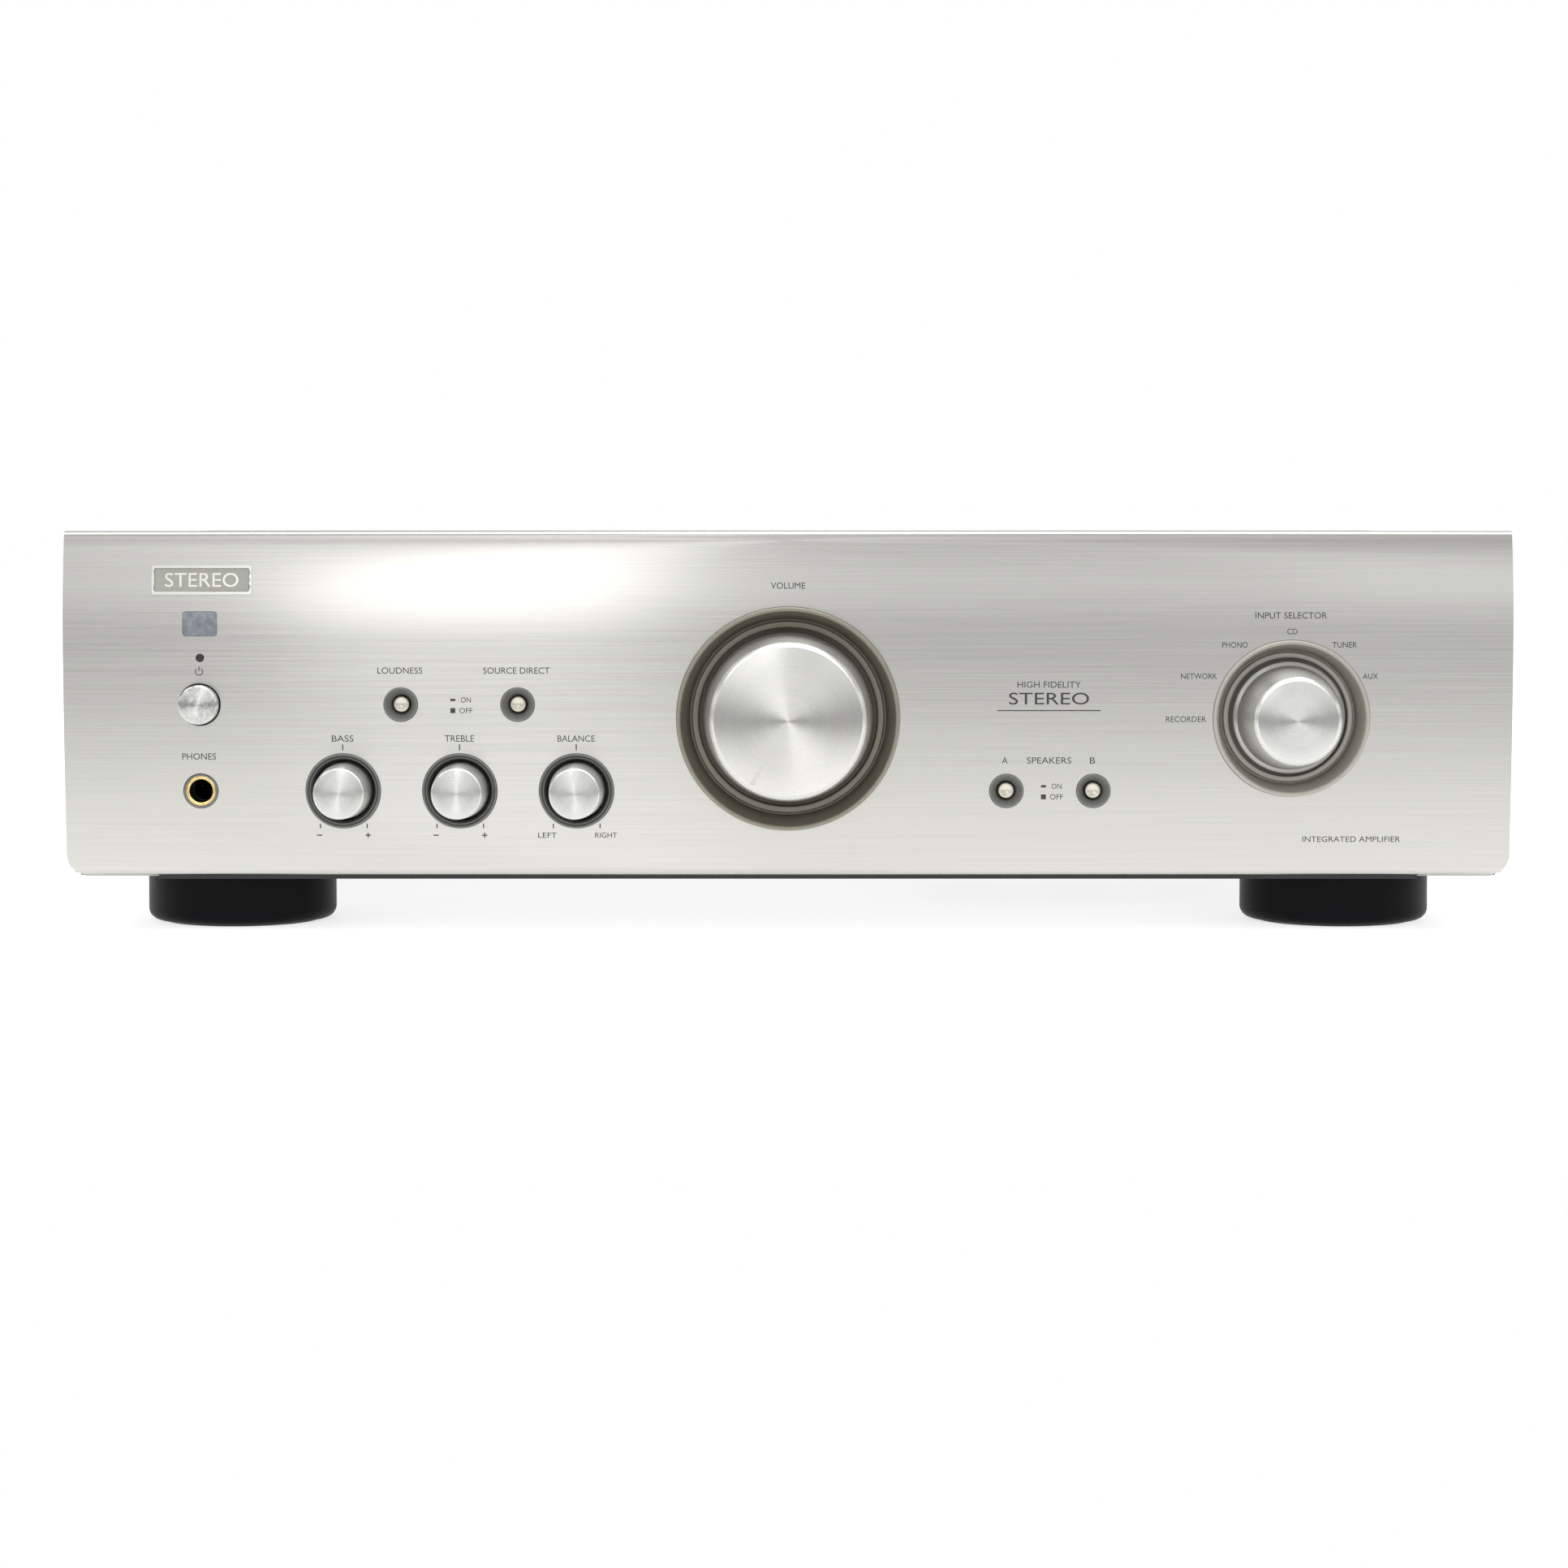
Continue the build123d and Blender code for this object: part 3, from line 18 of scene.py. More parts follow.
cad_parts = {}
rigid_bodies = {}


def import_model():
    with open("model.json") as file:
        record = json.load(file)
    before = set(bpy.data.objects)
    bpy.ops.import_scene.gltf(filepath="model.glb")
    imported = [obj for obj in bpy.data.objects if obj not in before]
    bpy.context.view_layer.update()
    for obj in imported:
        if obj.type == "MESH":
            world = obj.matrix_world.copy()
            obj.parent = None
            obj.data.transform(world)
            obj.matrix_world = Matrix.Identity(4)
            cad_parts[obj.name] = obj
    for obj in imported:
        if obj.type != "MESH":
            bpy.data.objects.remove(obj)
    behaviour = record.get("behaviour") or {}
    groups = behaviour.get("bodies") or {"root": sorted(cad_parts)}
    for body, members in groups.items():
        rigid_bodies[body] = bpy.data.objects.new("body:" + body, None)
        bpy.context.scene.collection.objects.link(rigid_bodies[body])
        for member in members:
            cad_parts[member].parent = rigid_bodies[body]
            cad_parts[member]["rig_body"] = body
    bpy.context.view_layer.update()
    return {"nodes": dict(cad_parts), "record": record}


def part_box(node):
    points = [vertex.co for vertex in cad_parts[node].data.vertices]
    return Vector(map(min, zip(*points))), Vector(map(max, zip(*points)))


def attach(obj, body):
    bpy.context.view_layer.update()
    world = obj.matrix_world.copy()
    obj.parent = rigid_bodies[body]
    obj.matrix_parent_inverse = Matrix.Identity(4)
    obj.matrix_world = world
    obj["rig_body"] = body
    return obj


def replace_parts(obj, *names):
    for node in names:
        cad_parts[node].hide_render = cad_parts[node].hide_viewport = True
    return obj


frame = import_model()
MM = 0.001


def middle(node):
    """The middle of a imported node's box."""
    low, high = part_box(node)
    return (low + high) / 2


slots = {part["node"]: part["material_slot"] for part in frame["record"]["subparts"]}
panel_low, panel_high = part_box("front_panel")
rear_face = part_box("rear_panel")[1].y
print("panel front at y =", round(panel_low.y, 4), "rear panel at y =", round(rear_face, 4))

# %% [markdown]
# ## Camera
#
# A product picture of a wide, low unit is taken from straight ahead, slightly above the top edge, with
# a long lens so that the panel looks square. A long lens far away keeps the knobs from looking too
# deep. The lens is shifted a little, as on a view camera, which keeps the sides of the panel upright.

# %% Camera
CAMERA_DISTANCE = 1.150
CAMERA_HEIGHT = 0.1275
CAMERA_PITCH = radians(3.3)

camera_data = bpy.data.cameras.new("front_camera")
camera_data.sensor_width = 36.0
camera_data.lens = 88.3
camera_data.shift_x = -0.0026
camera_data.shift_y = -0.034
camera = bpy.data.objects.new("front_camera", camera_data)
camera.location = (0.0, panel_low.y - CAMERA_DISTANCE, CAMERA_HEIGHT)
camera.rotation_euler = (pi / 2 - CAMERA_PITCH, 0.0, 0.0)
bpy.context.scene.collection.objects.link(camera)
bpy.context.scene.camera = camera
print("camera at", [round(v, 3) for v in camera.location])

# %% [markdown]
# ## Light
#
# Metal shows its surroundings more than its own colour, so the surroundings are the light. The world is
# a soft studio: dim at the horizon, with a bright band a little above it and an even grey overhead.
# A tall, narrow softbox ahead and above gives the glow on the bowed panel, a small one to the right
# lights its top edge, and a wide one overhead and two at the sides shape the knobs. Camera rays see
# plain white, as in a catalogue picture, while reflections see the studio.


# %% One function that adds a node
def add(tree, kind, settings=None, links=None):
    """Adds a node, sets its properties or sockets by name or number, and links its inputs."""
    node = tree.nodes.new(kind)
    for key, value in (settings or {}).items():
        if isinstance(key, int) or key in node.inputs:
            node.inputs[key].default_value = value
        else:
            setattr(node, key, value)
    for key, socket in (links or {}).items():
        tree.links.new(socket, node.inputs[key])
    return node


def ramp_stops(node, stops):
    """Sets a colour ramp's stops from (place, grey or colour) pairs."""
    elements = node.color_ramp.elements
    while len(elements) < len(stops):
        elements.new(1.0)
    for element, (place, value) in zip(elements, stops):
        element.position = place
        element.color = (value, value, value, 1.0) if isinstance(value, float) else value


# %% Studio surroundings
world = bpy.data.worlds.new("studio")
bpy.context.scene.world = world
world.use_nodes = True
sky = world.node_tree
sky.nodes.clear()
direction = add(sky, "ShaderNodeTexCoord")
upward = add(sky, "ShaderNodeSeparateXYZ", links={0: direction.outputs["Generated"]})
height = add(sky, "ShaderNodeMapRange", {1: -1.0, 2: 1.0}, {0: upward.outputs["Z"]})
studio = add(sky, "ShaderNodeValToRGB", links={0: height.outputs[0]})
STUDIO_BRIGHTNESS = [(0.40, 0.50), (0.475, 0.40), (0.52, 0.40), (0.578, 1.10), (0.638, 1.55), (0.695, 0.55),
                     (0.75, 0.62), (1.0, 0.85)]
ramp_stops(studio, STUDIO_BRIGHTNESS)
seen = add(sky, "ShaderNodeBackground", {"Color": (1.0, 1.0, 1.0, 1.0), "Strength": 1.0})
reflected = add(sky, "ShaderNodeBackground", {"Strength": 1.0}, {"Color": studio.outputs[0]})
ray = add(sky, "ShaderNodeLightPath")
mixed = add(sky, "ShaderNodeMixShader", links={
    0: ray.outputs["Is Camera Ray"], 1: reflected.outputs[0], 2: seen.outputs[0]})
add(sky, "ShaderNodeOutputWorld", links={"Surface": mixed.outputs[0]})
bpy.context.scene.view_settings.view_transform = "Standard"
print("studio ramp stops:", len(studio.color_ramp.elements))


# %% Softboxes
def softbox(name, place, target, width, height, power):
    """A rectangular area light at place, turned to face target."""
    data = bpy.data.lights.new(name, "AREA")
    data.shape = "RECTANGLE"
    data.size = width
    data.size_y = height
    data.energy = power
    light = bpy.data.objects.new(name, data)
    light.location = place
    light.rotation_mode = "QUATERNION"
    light.rotation_quaternion = (Vector(target) - Vector(place)).to_track_quat("-Z", "Y")
    bpy.context.scene.collection.objects.link(light)
    return light


panel_middle = Vector((0.0, panel_low.y, 0.08))
softbox("glow", (-0.26, -2.2, 0.74), panel_middle, 0.30, 1.3, 1.9)
softbox("edge_glow", (0.56, -2.2, 0.70), panel_middle, 0.24, 0.30, 0.12)
softbox("overhead", (0.1, -0.3, 1.7), panel_middle, 1.6, 1.2, 16.0)
softbox("left", (-1.3, -0.8, 1.4), panel_middle, 0.8, 1.0, 6.0)
softbox("right", (1.3, -0.8, 1.3), panel_middle, 0.8, 1.0, 5.0)
print("softboxes:", len(bpy.data.lights))

# %% [markdown]
# ## Helpers for shapes
#
# Most of what shows is turned: knobs, trim rings, feet, sockets. A turned part is drawn as half of its
# section, as a list of (radius, depth) points, and bmesh.ops.spin carries the section round the axis.
# Its corners are then bevelled, because the thin bright line that a real edge catches is what makes
# a part look made rather than drawn.


# %% From a bmesh to a piece of the model
def piece_from(bm, name, material, body, smooth_below=32.0):
    """Welds the mesh, turns its faces outwards, shades it smooth except at sharp edges, and rides it."""
    bmesh.ops.remove_doubles(bm, verts=bm.verts, dist=0.002 * MM)
    bmesh.ops.recalc_face_normals(bm, faces=bm.faces)
    mesh = bpy.data.meshes.new(name)
    bm.to_mesh(mesh)
    bm.free()
    for polygon in mesh.polygons:
        polygon.use_smooth = True
    mesh.set_sharp_from_angle(angle=radians(smooth_below))
    mesh.materials.append(material)
    piece = bpy.data.objects.new(name, mesh)
    bpy.context.scene.collection.objects.link(piece)
    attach(piece, body)
    return piece


# %% Turned shapes
def bevel_corners(bm, width, segments=2, sharper_than=30.0):
    """Rounds every edge whose faces meet more sharply than an angle."""
    corners = [e for e in bm.edges if len(e.link_faces) == 2 and e.calc_face_angle() > radians(sharper_than)]
    bmesh.ops.bevel(bm, geom=corners, offset=width, offset_type="OFFSET", segments=segments,
                    profile=0.5, affect="EDGES", clamp_overlap=True, material=-1)


def turned(outline, axis_at, steps=96, bevel=0.12 * MM, along="Y"):
    """A bmesh of an outline of (radius, place along the axis) spun round the axis through axis_at.

    An outline that starts and ends on the axis is left open there, so that no face lies on the axis.
    """
    bm = bmesh.new()
    points = []
    for radius, place in outline:
        offset = (radius, place, 0.0) if along == "Y" else (radius, 0.0, place)
        start = (axis_at[0], 0.0, axis_at[2]) if along == "Y" else (axis_at[0], axis_at[1], 0.0)
        points.append(bm.verts.new(Vector(offset) + Vector(start)))
    pairs = list(zip(points, points[1:]))
    if outline[0][0] > 0 or outline[-1][0] > 0:
        pairs.append((points[-1], points[0]))
    edges = [bm.edges.new(pair) for pair in pairs]
    bmesh.ops.spin(bm, geom=points + edges, cent=axis_at, axis=(0, 1, 0) if along == "Y" else (0, 0, 1),
                   angle=tau, steps=steps, use_merge=True)
    bmesh.ops.remove_doubles(bm, verts=bm.verts, dist=0.002 * MM)
    bmesh.ops.dissolve_degenerate(bm, edges=bm.edges, dist=0.001 * MM)
    bmesh.ops.recalc_face_normals(bm, faces=bm.faces)
    if bevel:
        bevel_corners(bm, bevel)
    return bm


def bar(bm, low, high):
    """Adds a box between two corners and returns its vertices."""
    low, high = Vector(low), Vector(high)
    made = bmesh.ops.create_cube(bm, size=1.0)["verts"]
    bmesh.ops.scale(bm, vec=high - low, verts=made)
    bmesh.ops.translate(bm, vec=(high + low) / 2, verts=made)
    return made


def rod(bm, start, end, radius, segments=24):
    """Adds a round bar from start to end and returns its vertices."""
    start, end = Vector(start), Vector(end)
    made = bmesh.ops.create_cone(bm, cap_ends=True, segments=segments, radius1=radius, radius2=radius,
                                 depth=(end - start).length)["verts"]
    turn = (end - start).to_track_quat("Z", "Y").to_matrix().to_4x4()
    bmesh.ops.transform(bm, matrix=Matrix.Translation((start + end) / 2) @ turn, verts=made)
    return made


# %% Cutting one shape out of another
def cut(piece, cutter_bm, operation="DIFFERENCE"):
    """Applies a boolean with the shape in cutter_bm to a piece's mesh, and keeps the piece's name."""
    cutter_mesh = bpy.data.meshes.new("cutter")
    bmesh.ops.recalc_face_normals(cutter_bm, faces=cutter_bm.faces)
    cutter_bm.to_mesh(cutter_mesh)
    cutter_bm.free()
    cutter = bpy.data.objects.new("cutter", cutter_mesh)
    bpy.context.scene.collection.objects.link(cutter)
    modifier = piece.modifiers.new("cut", "BOOLEAN")
    modifier.operation = operation
    modifier.solver = "EXACT"
    modifier.object = cutter
    bpy.context.view_layer.update()
    result = bpy.data.meshes.new_from_object(piece.evaluated_get(bpy.context.evaluated_depsgraph_get()))
    piece.modifiers.clear()
    name, old = piece.data.name, piece.data
    piece.data = result
    bpy.data.meshes.remove(old)
    result.name = name
    bpy.data.objects.remove(cutter)
    bpy.data.meshes.remove(cutter_mesh)
    return piece


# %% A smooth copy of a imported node
def refined(node, name, material, smooth_below=32.0):
    """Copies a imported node's mesh, welds its loose triangles and shades it smooth, then replaces the node.

    Normals are weighted by area, so that a flat sheet stays flat and only its bends are shaded round.
    """
    bm = bmesh.new()
    bm.from_mesh(frame["nodes"][node].data)
    bmesh.ops.remove_doubles(bm, verts=bm.verts, dist=0.002 * MM)
    bmesh.ops.dissolve_limit(bm, angle_limit=radians(0.3), verts=bm.verts, edges=bm.edges)
    piece = piece_from(bm, name, material, frame["nodes"][node]["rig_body"], smooth_below)
    weighted = piece.modifiers.new("flat_sheets", "WEIGHTED_NORMAL")
    weighted.mode = "FACE_AREA"
    weighted.weight = 90
    weighted.keep_sharp = True
    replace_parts(piece, node)
    return piece


# %% [markdown]
# ## Finishes
#
# Each finish is a Principled shader with its real values first: how metallic, how rough, which colour.
# Noise textures then break the surface up at the size of the real texture. All of them read
# Object coordinates, so a pattern is fixed to its part and keeps its real scale.


# %% Colour and the base of every finish
def linear(hex_colour):
    """An sRGB hex colour such as 'c8c8c4' as linear RGBA."""
    values = [int(hex_colour[i:i + 2], 16) / 255 for i in (0, 2, 4)]
    return [v / 12.92 if v <= 0.04045 else ((v + 0.055) / 1.055) ** 2.4 for v in values] + [1.0]


def finish(name, colour, roughness, metallic=0.0, **sockets):
    """A material with a Principled shader; other sockets are given with _ for a space."""
    material = bpy.data.materials.new(name)
    material.use_nodes = True
    shader = material.node_tree.nodes["Principled BSDF"]
    shader.inputs["Base Color"].default_value = linear(colour)
    shader.inputs["Roughness"].default_value = roughness
    shader.inputs["Metallic"].default_value = metallic
    for key, value in sockets.items():
        shader.inputs[key.replace("_", " ")].default_value = value
    material.diffuse_color = linear(colour)
    return material


def shader_of(material):
    return material.node_tree.nodes["Principled BSDF"]


# %% Grain: one noise, used for colour, roughness and relief
def grain(material, size, colours=None, roughness=None, relief=0.0, stretch=(1, 1, 1), detail=3.0):
    """Breaks a finish up with noise.

    size is the grain's width in metres; stretch makes it longer along an axis. colours are the two hex
    colours at the noise's extremes, roughness the two roughness values, relief the bump's height.
    """
    tree = material.node_tree
    place = add(tree, "ShaderNodeTexCoord")
    scale = [1.0 / (size * s) for s in stretch]
    mapping = add(tree, "ShaderNodeMapping", {"Scale": scale}, {"Vector": place.outputs["Object"]})
    noise = add(tree, "ShaderNodeTexNoise", {"Scale": 1.0, "Detail": detail, "Roughness": 0.55},
                {"Vector": mapping.outputs[0]})
    shader = shader_of(material)
    if colours:
        ramp = add(tree, "ShaderNodeValToRGB", links={0: noise.outputs["Fac"]})
        ramp_stops(ramp, [(0.3, linear(colours[0])), (0.7, linear(colours[1]))])
        tree.links.new(ramp.outputs[0], shader.inputs["Base Color"])
    if roughness:
        spread = add(tree, "ShaderNodeMapRange", {1: 0.3, 2: 0.7, 3: roughness[0], 4: roughness[1]},
                     {0: noise.outputs["Fac"]})
        tree.links.new(spread.outputs[0], shader.inputs["Roughness"])
    if relief:
        bump = add(tree, "ShaderNodeBump", {"Strength": 1.0, "Distance": relief},
                   {"Height": noise.outputs["Fac"]})
        tree.links.new(bump.outputs[0], shader.inputs["Normal"])
    return noise


# %% [markdown]
# ### Brushed anodised aluminium
#
# The front panel is an aluminium extrusion, brushed from side to side and then anodised clear. The
# brushing is thousands of fine lines along X, so light spreads up and down but hardly sideways: that is
# anisotropy. The real lines are under 0.1 mm wide, and here they are drawn 0.35 mm wide so that they
# show at all.

# %% Brushed panel
brushed = finish("brushed_anodised_aluminium", "c5c4c0", 0.22, metallic=1.0, Anisotropic=0.92,
                 Anisotropic_Rotation=0.25)
grain(brushed, 0.35 * MM, colours=("c2c1bd", "c9c8c4"), roughness=(0.21, 0.23), relief=0.0002 * MM,
      stretch=(160, 20, 1), detail=4.0)
panel_tangent = add(brushed.node_tree, "ShaderNodeTangent", {"direction_type": "RADIAL", "axis": "Z"})
brushed.node_tree.links.new(panel_tangent.outputs[0], shader_of(brushed).inputs["Tangent"])

# %% [markdown]
# ### Turned anodised aluminium
#
# A knob is faced on a lathe, which leaves fine rings round its centre. Rings reflect a light as two
# bright wedges that meet at the centre. The shader gets that from a tangent that runs round the knob's
# own axis, and the sides get faint rings from a noise stretched round the axis.


# %% Turned knob faces
def turned_finish(name, node, colour="d6d6d3", roughness=0.28, ring=0.30 * MM):
    """Turned aluminium whose rings are centred on one knob."""
    material = finish(name, colour, roughness, metallic=1.0, Anisotropic=0.92, Anisotropic_Rotation=0.25)
    tree = material.node_tree
    centre = middle(node)
    place = add(tree, "ShaderNodeTexCoord")
    centred = add(tree, "ShaderNodeMapping", {"Location": (-centre.x, 0.0, -centre.z)},
                  {"Vector": place.outputs["Object"]})
    parts = add(tree, "ShaderNodeSeparateXYZ", links={0: centred.outputs[0]})
    flat = add(tree, "ShaderNodeCombineXYZ", links={"X": parts.outputs["X"], "Y": parts.outputs["Z"]})
    radius = add(tree, "ShaderNodeVectorMath", {"operation": "LENGTH"}, {0: flat.outputs[0]})
    across = add(tree, "ShaderNodeCombineXYZ", links={"X": radius.outputs["Value"], "Y": parts.outputs["Y"]})
    rings = add(tree, "ShaderNodeTexNoise", {"Scale": 1.0 / ring, "Detail": 3.0},
                {"Vector": across.outputs[0]})
    shade = add(tree, "ShaderNodeMapRange", {1: 0.3, 2: 0.7, 3: roughness - 0.015, 4: roughness + 0.015},
                {0: rings.outputs["Fac"]})
    bump = add(tree, "ShaderNodeBump", {"Strength": 1.0, "Distance": 0.0002 * MM},
               {"Height": rings.outputs["Fac"]})
    tangent = add(tree, "ShaderNodeTangent", {"direction_type": "RADIAL", "axis": "Y"})
    shader = shader_of(material)
    tree.links.new(shade.outputs[0], shader.inputs["Roughness"])
    tree.links.new(bump.outputs[0], shader.inputs["Normal"])
    tree.links.new(tangent.outputs[0], shader.inputs["Tangent"])
    return material


# %% [markdown]
# ### Other metals

# %% Satin and plated metals
chamfer_metal = finish("diamond_cut_aluminium", "cfcfca", 0.30, metallic=1.0)
grain(chamfer_metal, 0.5 * MM, roughness=(0.24, 0.32))
button_metal = finish("satin_champagne_aluminium", "cfcabd", 0.30, metallic=1.0)
grain(button_metal, 0.25 * MM, colours=("c9c4b6", "d5d0c4"), roughness=(0.26, 0.36))
gold = finish("gold_plated_brass", "e2c487", 0.20, metallic=1.0)
grain(gold, 0.8 * MM, colours=("dcbb78", "e8cf98"), roughness=(0.16, 0.27))
nickel = finish("nickel_plated_brass", "cbc7c0", 0.24, metallic=1.0)
grain(nickel, 0.8 * MM, roughness=(0.18, 0.30))
zinc = finish("zinc_plated_steel", "b4b6b5", 0.36, metallic=1.0)
grain(zinc, 9 * MM, colours=("a9abab", "bdbfbe"), roughness=(0.30, 0.45), detail=6.0)
black_oxide = finish("black_oxide_steel", "2a2a2b", 0.38, metallic=0.8)
grain(black_oxide, 0.3 * MM, colours=("232324", "343435"), roughness=(0.32, 0.46))

# %% [markdown]
# ### Painted steel
#
# The cover and rear panel are steel sheet with a silver-grey powder coat. Powder coat melts into tiny
# bumps about 0.5 mm across, which blur its reflections.

# %% Powder coat
cover_paint = finish("silver_powder_coat", "a9a9a6", 0.46, metallic=0.35)
grain(cover_paint, 0.55 * MM, colours=("a3a3a0", "b0b0ad"), roughness=(0.40, 0.54), relief=0.02 * MM)
rear_paint = finish("satin_grey_paint", "a2a29f", 0.42, metallic=0.25)
grain(rear_paint, 1.2 * MM, colours=("9c9c99", "a8a8a5"), roughness=(0.38, 0.48), relief=0.006 * MM)
core_varnish = finish("varnished_laminations", "2b2a29", 0.38, metallic=0.5)
grain(core_varnish, 0.5 * MM, colours=("222120", "3a3836"), relief=0.05 * MM, stretch=(60, 1, 60))

# %% [markdown]
# ### Moulded plastics
#
# The trim rings are ABS with an olive-grey metallic paint, the feet are black ABS with a low gloss, and
# the parts inside the case are plain moulded nylon or ABS with the fine grain of a spark-eroded mould.

# %% Plastics
trim = finish("olive_grey_painted_abs", "8c877b", 0.38, metallic=0.45, Coat_Weight=0.15, Coat_Roughness=0.3)
grain(trim, 0.3 * MM, colours=("868175", "938e82"), roughness=(0.34, 0.44))
pale_trim = finish("pale_grey_painted_abs", "aeaba2", 0.40, metallic=0.45, Coat_Weight=0.15,
                   Coat_Roughness=0.3)
grain(pale_trim, 0.3 * MM, colours=("a7a49b", "b5b2aa"), roughness=(0.36, 0.46))
dark_trim = finish("dark_grey_painted_abs", "72726f", 0.40, metallic=0.35)
grain(dark_trim, 0.3 * MM, colours=("6c6c69", "797976"), roughness=(0.36, 0.46))
foot_plastic = finish("black_moulded_abs", "09080b", 0.42, Specular_IOR_Level=0.08)
grain(foot_plastic, 0.6 * MM, colours=("070609", "0b0a0e"), roughness=(0.36, 0.48), relief=0.008 * MM)
black_nylon = finish("black_moulded_nylon", "1a1a1b", 0.48)
grain(black_nylon, 0.4 * MM, colours=("151516", "222223"), roughness=(0.42, 0.56), relief=0.015 * MM)
felt = finish("pressed_felt", "2d2d2f", 0.95, Sheen_Weight=0.3)
grain(felt, 0.5 * MM, colours=("232325", "3a3a3c"), relief=0.15 * MM)
lens_led = finish("diffused_led_lens", "1f1b19", 0.3)
grain(lens_led, 0.6 * MM, colours=("1a1715", "25201e"))
lens_window = finish("tinted_acrylic_lens", "787d86", 0.12, Coat_Weight=0.5)
grain(lens_window, 2.0 * MM, colours=("6c717c", "858b91"), detail=1.0)
cap_red = finish("red_polycarbonate", "8e1513", 0.22, Coat_Weight=0.5)
grain(cap_red, 1.5 * MM, colours=("86110f", "9a1a17"), roughness=(0.18, 0.28))
cap_black = finish("black_polycarbonate", "151515", 0.24, Coat_Weight=0.5)
grain(cap_black, 1.5 * MM, colours=("111111", "1b1b1b"), roughness=(0.2, 0.3))
insulator_white = finish("white_nylon", "dcdad2", 0.42)
grain(insulator_white, 0.6 * MM, colours=("d6d4cb", "e2e0d9"), roughness=(0.38, 0.48))
insulator_red = finish("red_nylon", "a8231f", 0.42)
grain(insulator_red, 0.6 * MM, colours=("a01f1b", "b22a25"), roughness=(0.38, 0.48))
ink = finish("screen_print_ink", "32312e", 0.6)
grain(ink, 0.4 * MM, colours=("2d2c2a", "383734"))
white_ink = finish("white_screen_print_ink", "d8d8d4", 0.6)
grain(white_ink, 0.4 * MM, colours=("d2d2ce", "dededa"))

# %% [markdown]
# ### Inside the case
#
# What shows through the vents: a brown laminate board, yellow transformer tape, black anodised fins and
# the plastic sleeves of the capacitors.

# %% Inner finishes
laminate = finish("phenolic_laminate", "9a7a45", 0.5)
grain(laminate, 1.5 * MM, colours=("8f7040", "a5844c"), roughness=(0.45, 0.6))
tape = finish("polyester_tape", "c9a945", 0.35)
grain(tape, 1.2 * MM, colours=("bf9f3c", "d3b44e"), roughness=(0.28, 0.42), stretch=(20, 20, 1))
sleeve = finish("pvc_sleeve", "1b2140", 0.3)
grain(sleeve, 3 * MM, colours=("181d39", "202749"), roughness=(0.26, 0.36))
fins = finish("black_anodised_aluminium", "1c1c1d", 0.42, metallic=0.7)
grain(fins, 0.3 * MM, colours=("171718", "252526"), roughness=(0.36, 0.5), stretch=(1, 1, 80))
switch_plastic = finish("natural_nylon", "d8d5ca", 0.45)
grain(switch_plastic, 0.8 * MM, colours=("d2cfc3", "dfdcd2"), roughness=(0.4, 0.5))
print("finishes:", len(bpy.data.materials))

# %% [markdown]
# ## Front panel
#
# The panel is bowed: its foremost line runs across at about three quarters of its height, and from
# there it curves back gently to the bottom and more strongly to the top, where it rolls over into
# a small lip. A grid bent by the same arcs would do, but the rounded bottom edge and the lip need their
# own arcs. So a single vertex is spun round each arc's centre in turn, the chain of edges is extruded
# sideways, and the holes are cut with one boolean.

# %% The bow of the panel
CREST = Vector((0.0, panel_low.y, 88 * MM))
BOW_BELOW = 760 * MM
BOW_ABOVE = 130 * MM
LIP_HEIGHT = 1.8 * MM
LIP_SETBACK = 1.7 * MM
BOTTOM_ROUND = 3.0 * MM


def surface_y(z):
    """y of the panel's front at height z."""
    radius = BOW_BELOW if z < CREST.z else BOW_ABOVE
    return CREST.y + radius - sqrt(radius**2 - (z - CREST.z) ** 2)


def surface_normal(z):
    """The panel's outward normal at height z."""
    radius = BOW_BELOW if z < CREST.z else BOW_ABOVE
    lean = (z - CREST.z) / radius
    return Vector((0.0, -sqrt(1 - lean**2), lean))


print("top of the bow is set back", round((surface_y(panel_high.z) - CREST.y) / MM, 2), "mm")


# %% The panel's section, from spun arcs
def spun_arc(bm, start, centre, angle, steps):
    """Spins one vertex round an X axis through centre, and returns the last vertex."""
    spun = bmesh.ops.spin(bm, geom=[start], cent=centre, axis=(1, 0, 0), angle=angle, steps=steps)
    return next(item for item in spun["geom_last"] if isinstance(item, bmesh.types.BMVert))


def straight_to(bm, start, place):
    """Draws one edge from start to a new vertex at place."""
    made = bmesh.ops.extrude_vert_indiv(bm, verts=[start])["verts"][0]
    made.co = place
    return made


def panel_section():
    """The closed section of the panel, at its left end."""
    bm = bmesh.new()
    left = panel_low.x
    lip_z = panel_high.z - LIP_HEIGHT
    lip_y = surface_y(lip_z)
    round_z = panel_low.z + BOTTOM_ROUND
    crest = bm.verts.new((left, CREST.y, CREST.z))
    up = atan((lip_z - CREST.z) / (BOW_ABOVE - (lip_y - CREST.y)))
    top = spun_arc(bm, crest, (left, CREST.y + BOW_ABOVE, CREST.z), -up, 44)
    lip_centre = Vector((left, lip_y + LIP_SETBACK, lip_z))
    top = spun_arc(bm, top, lip_centre, -pi / 2, 8)
    down = atan((CREST.z - round_z) / (BOW_BELOW - (surface_y(round_z) - CREST.y)))
    low = spun_arc(bm, crest, (left, CREST.y + BOW_BELOW, CREST.z), down, 60)
    toe = Vector((left, surface_y(round_z) + BOTTOM_ROUND, round_z))
    low = spun_arc(bm, low, toe, pi / 2, 10)
    back_low = straight_to(bm, low, (left, panel_high.y, low.co.z))
    back_top = straight_to(bm, back_low, (left, panel_high.y, top.co.z))
    bm.edges.new((back_top, top))
    bmesh.ops.remove_doubles(bm, verts=bm.verts, dist=0.002 * MM)
    return bm


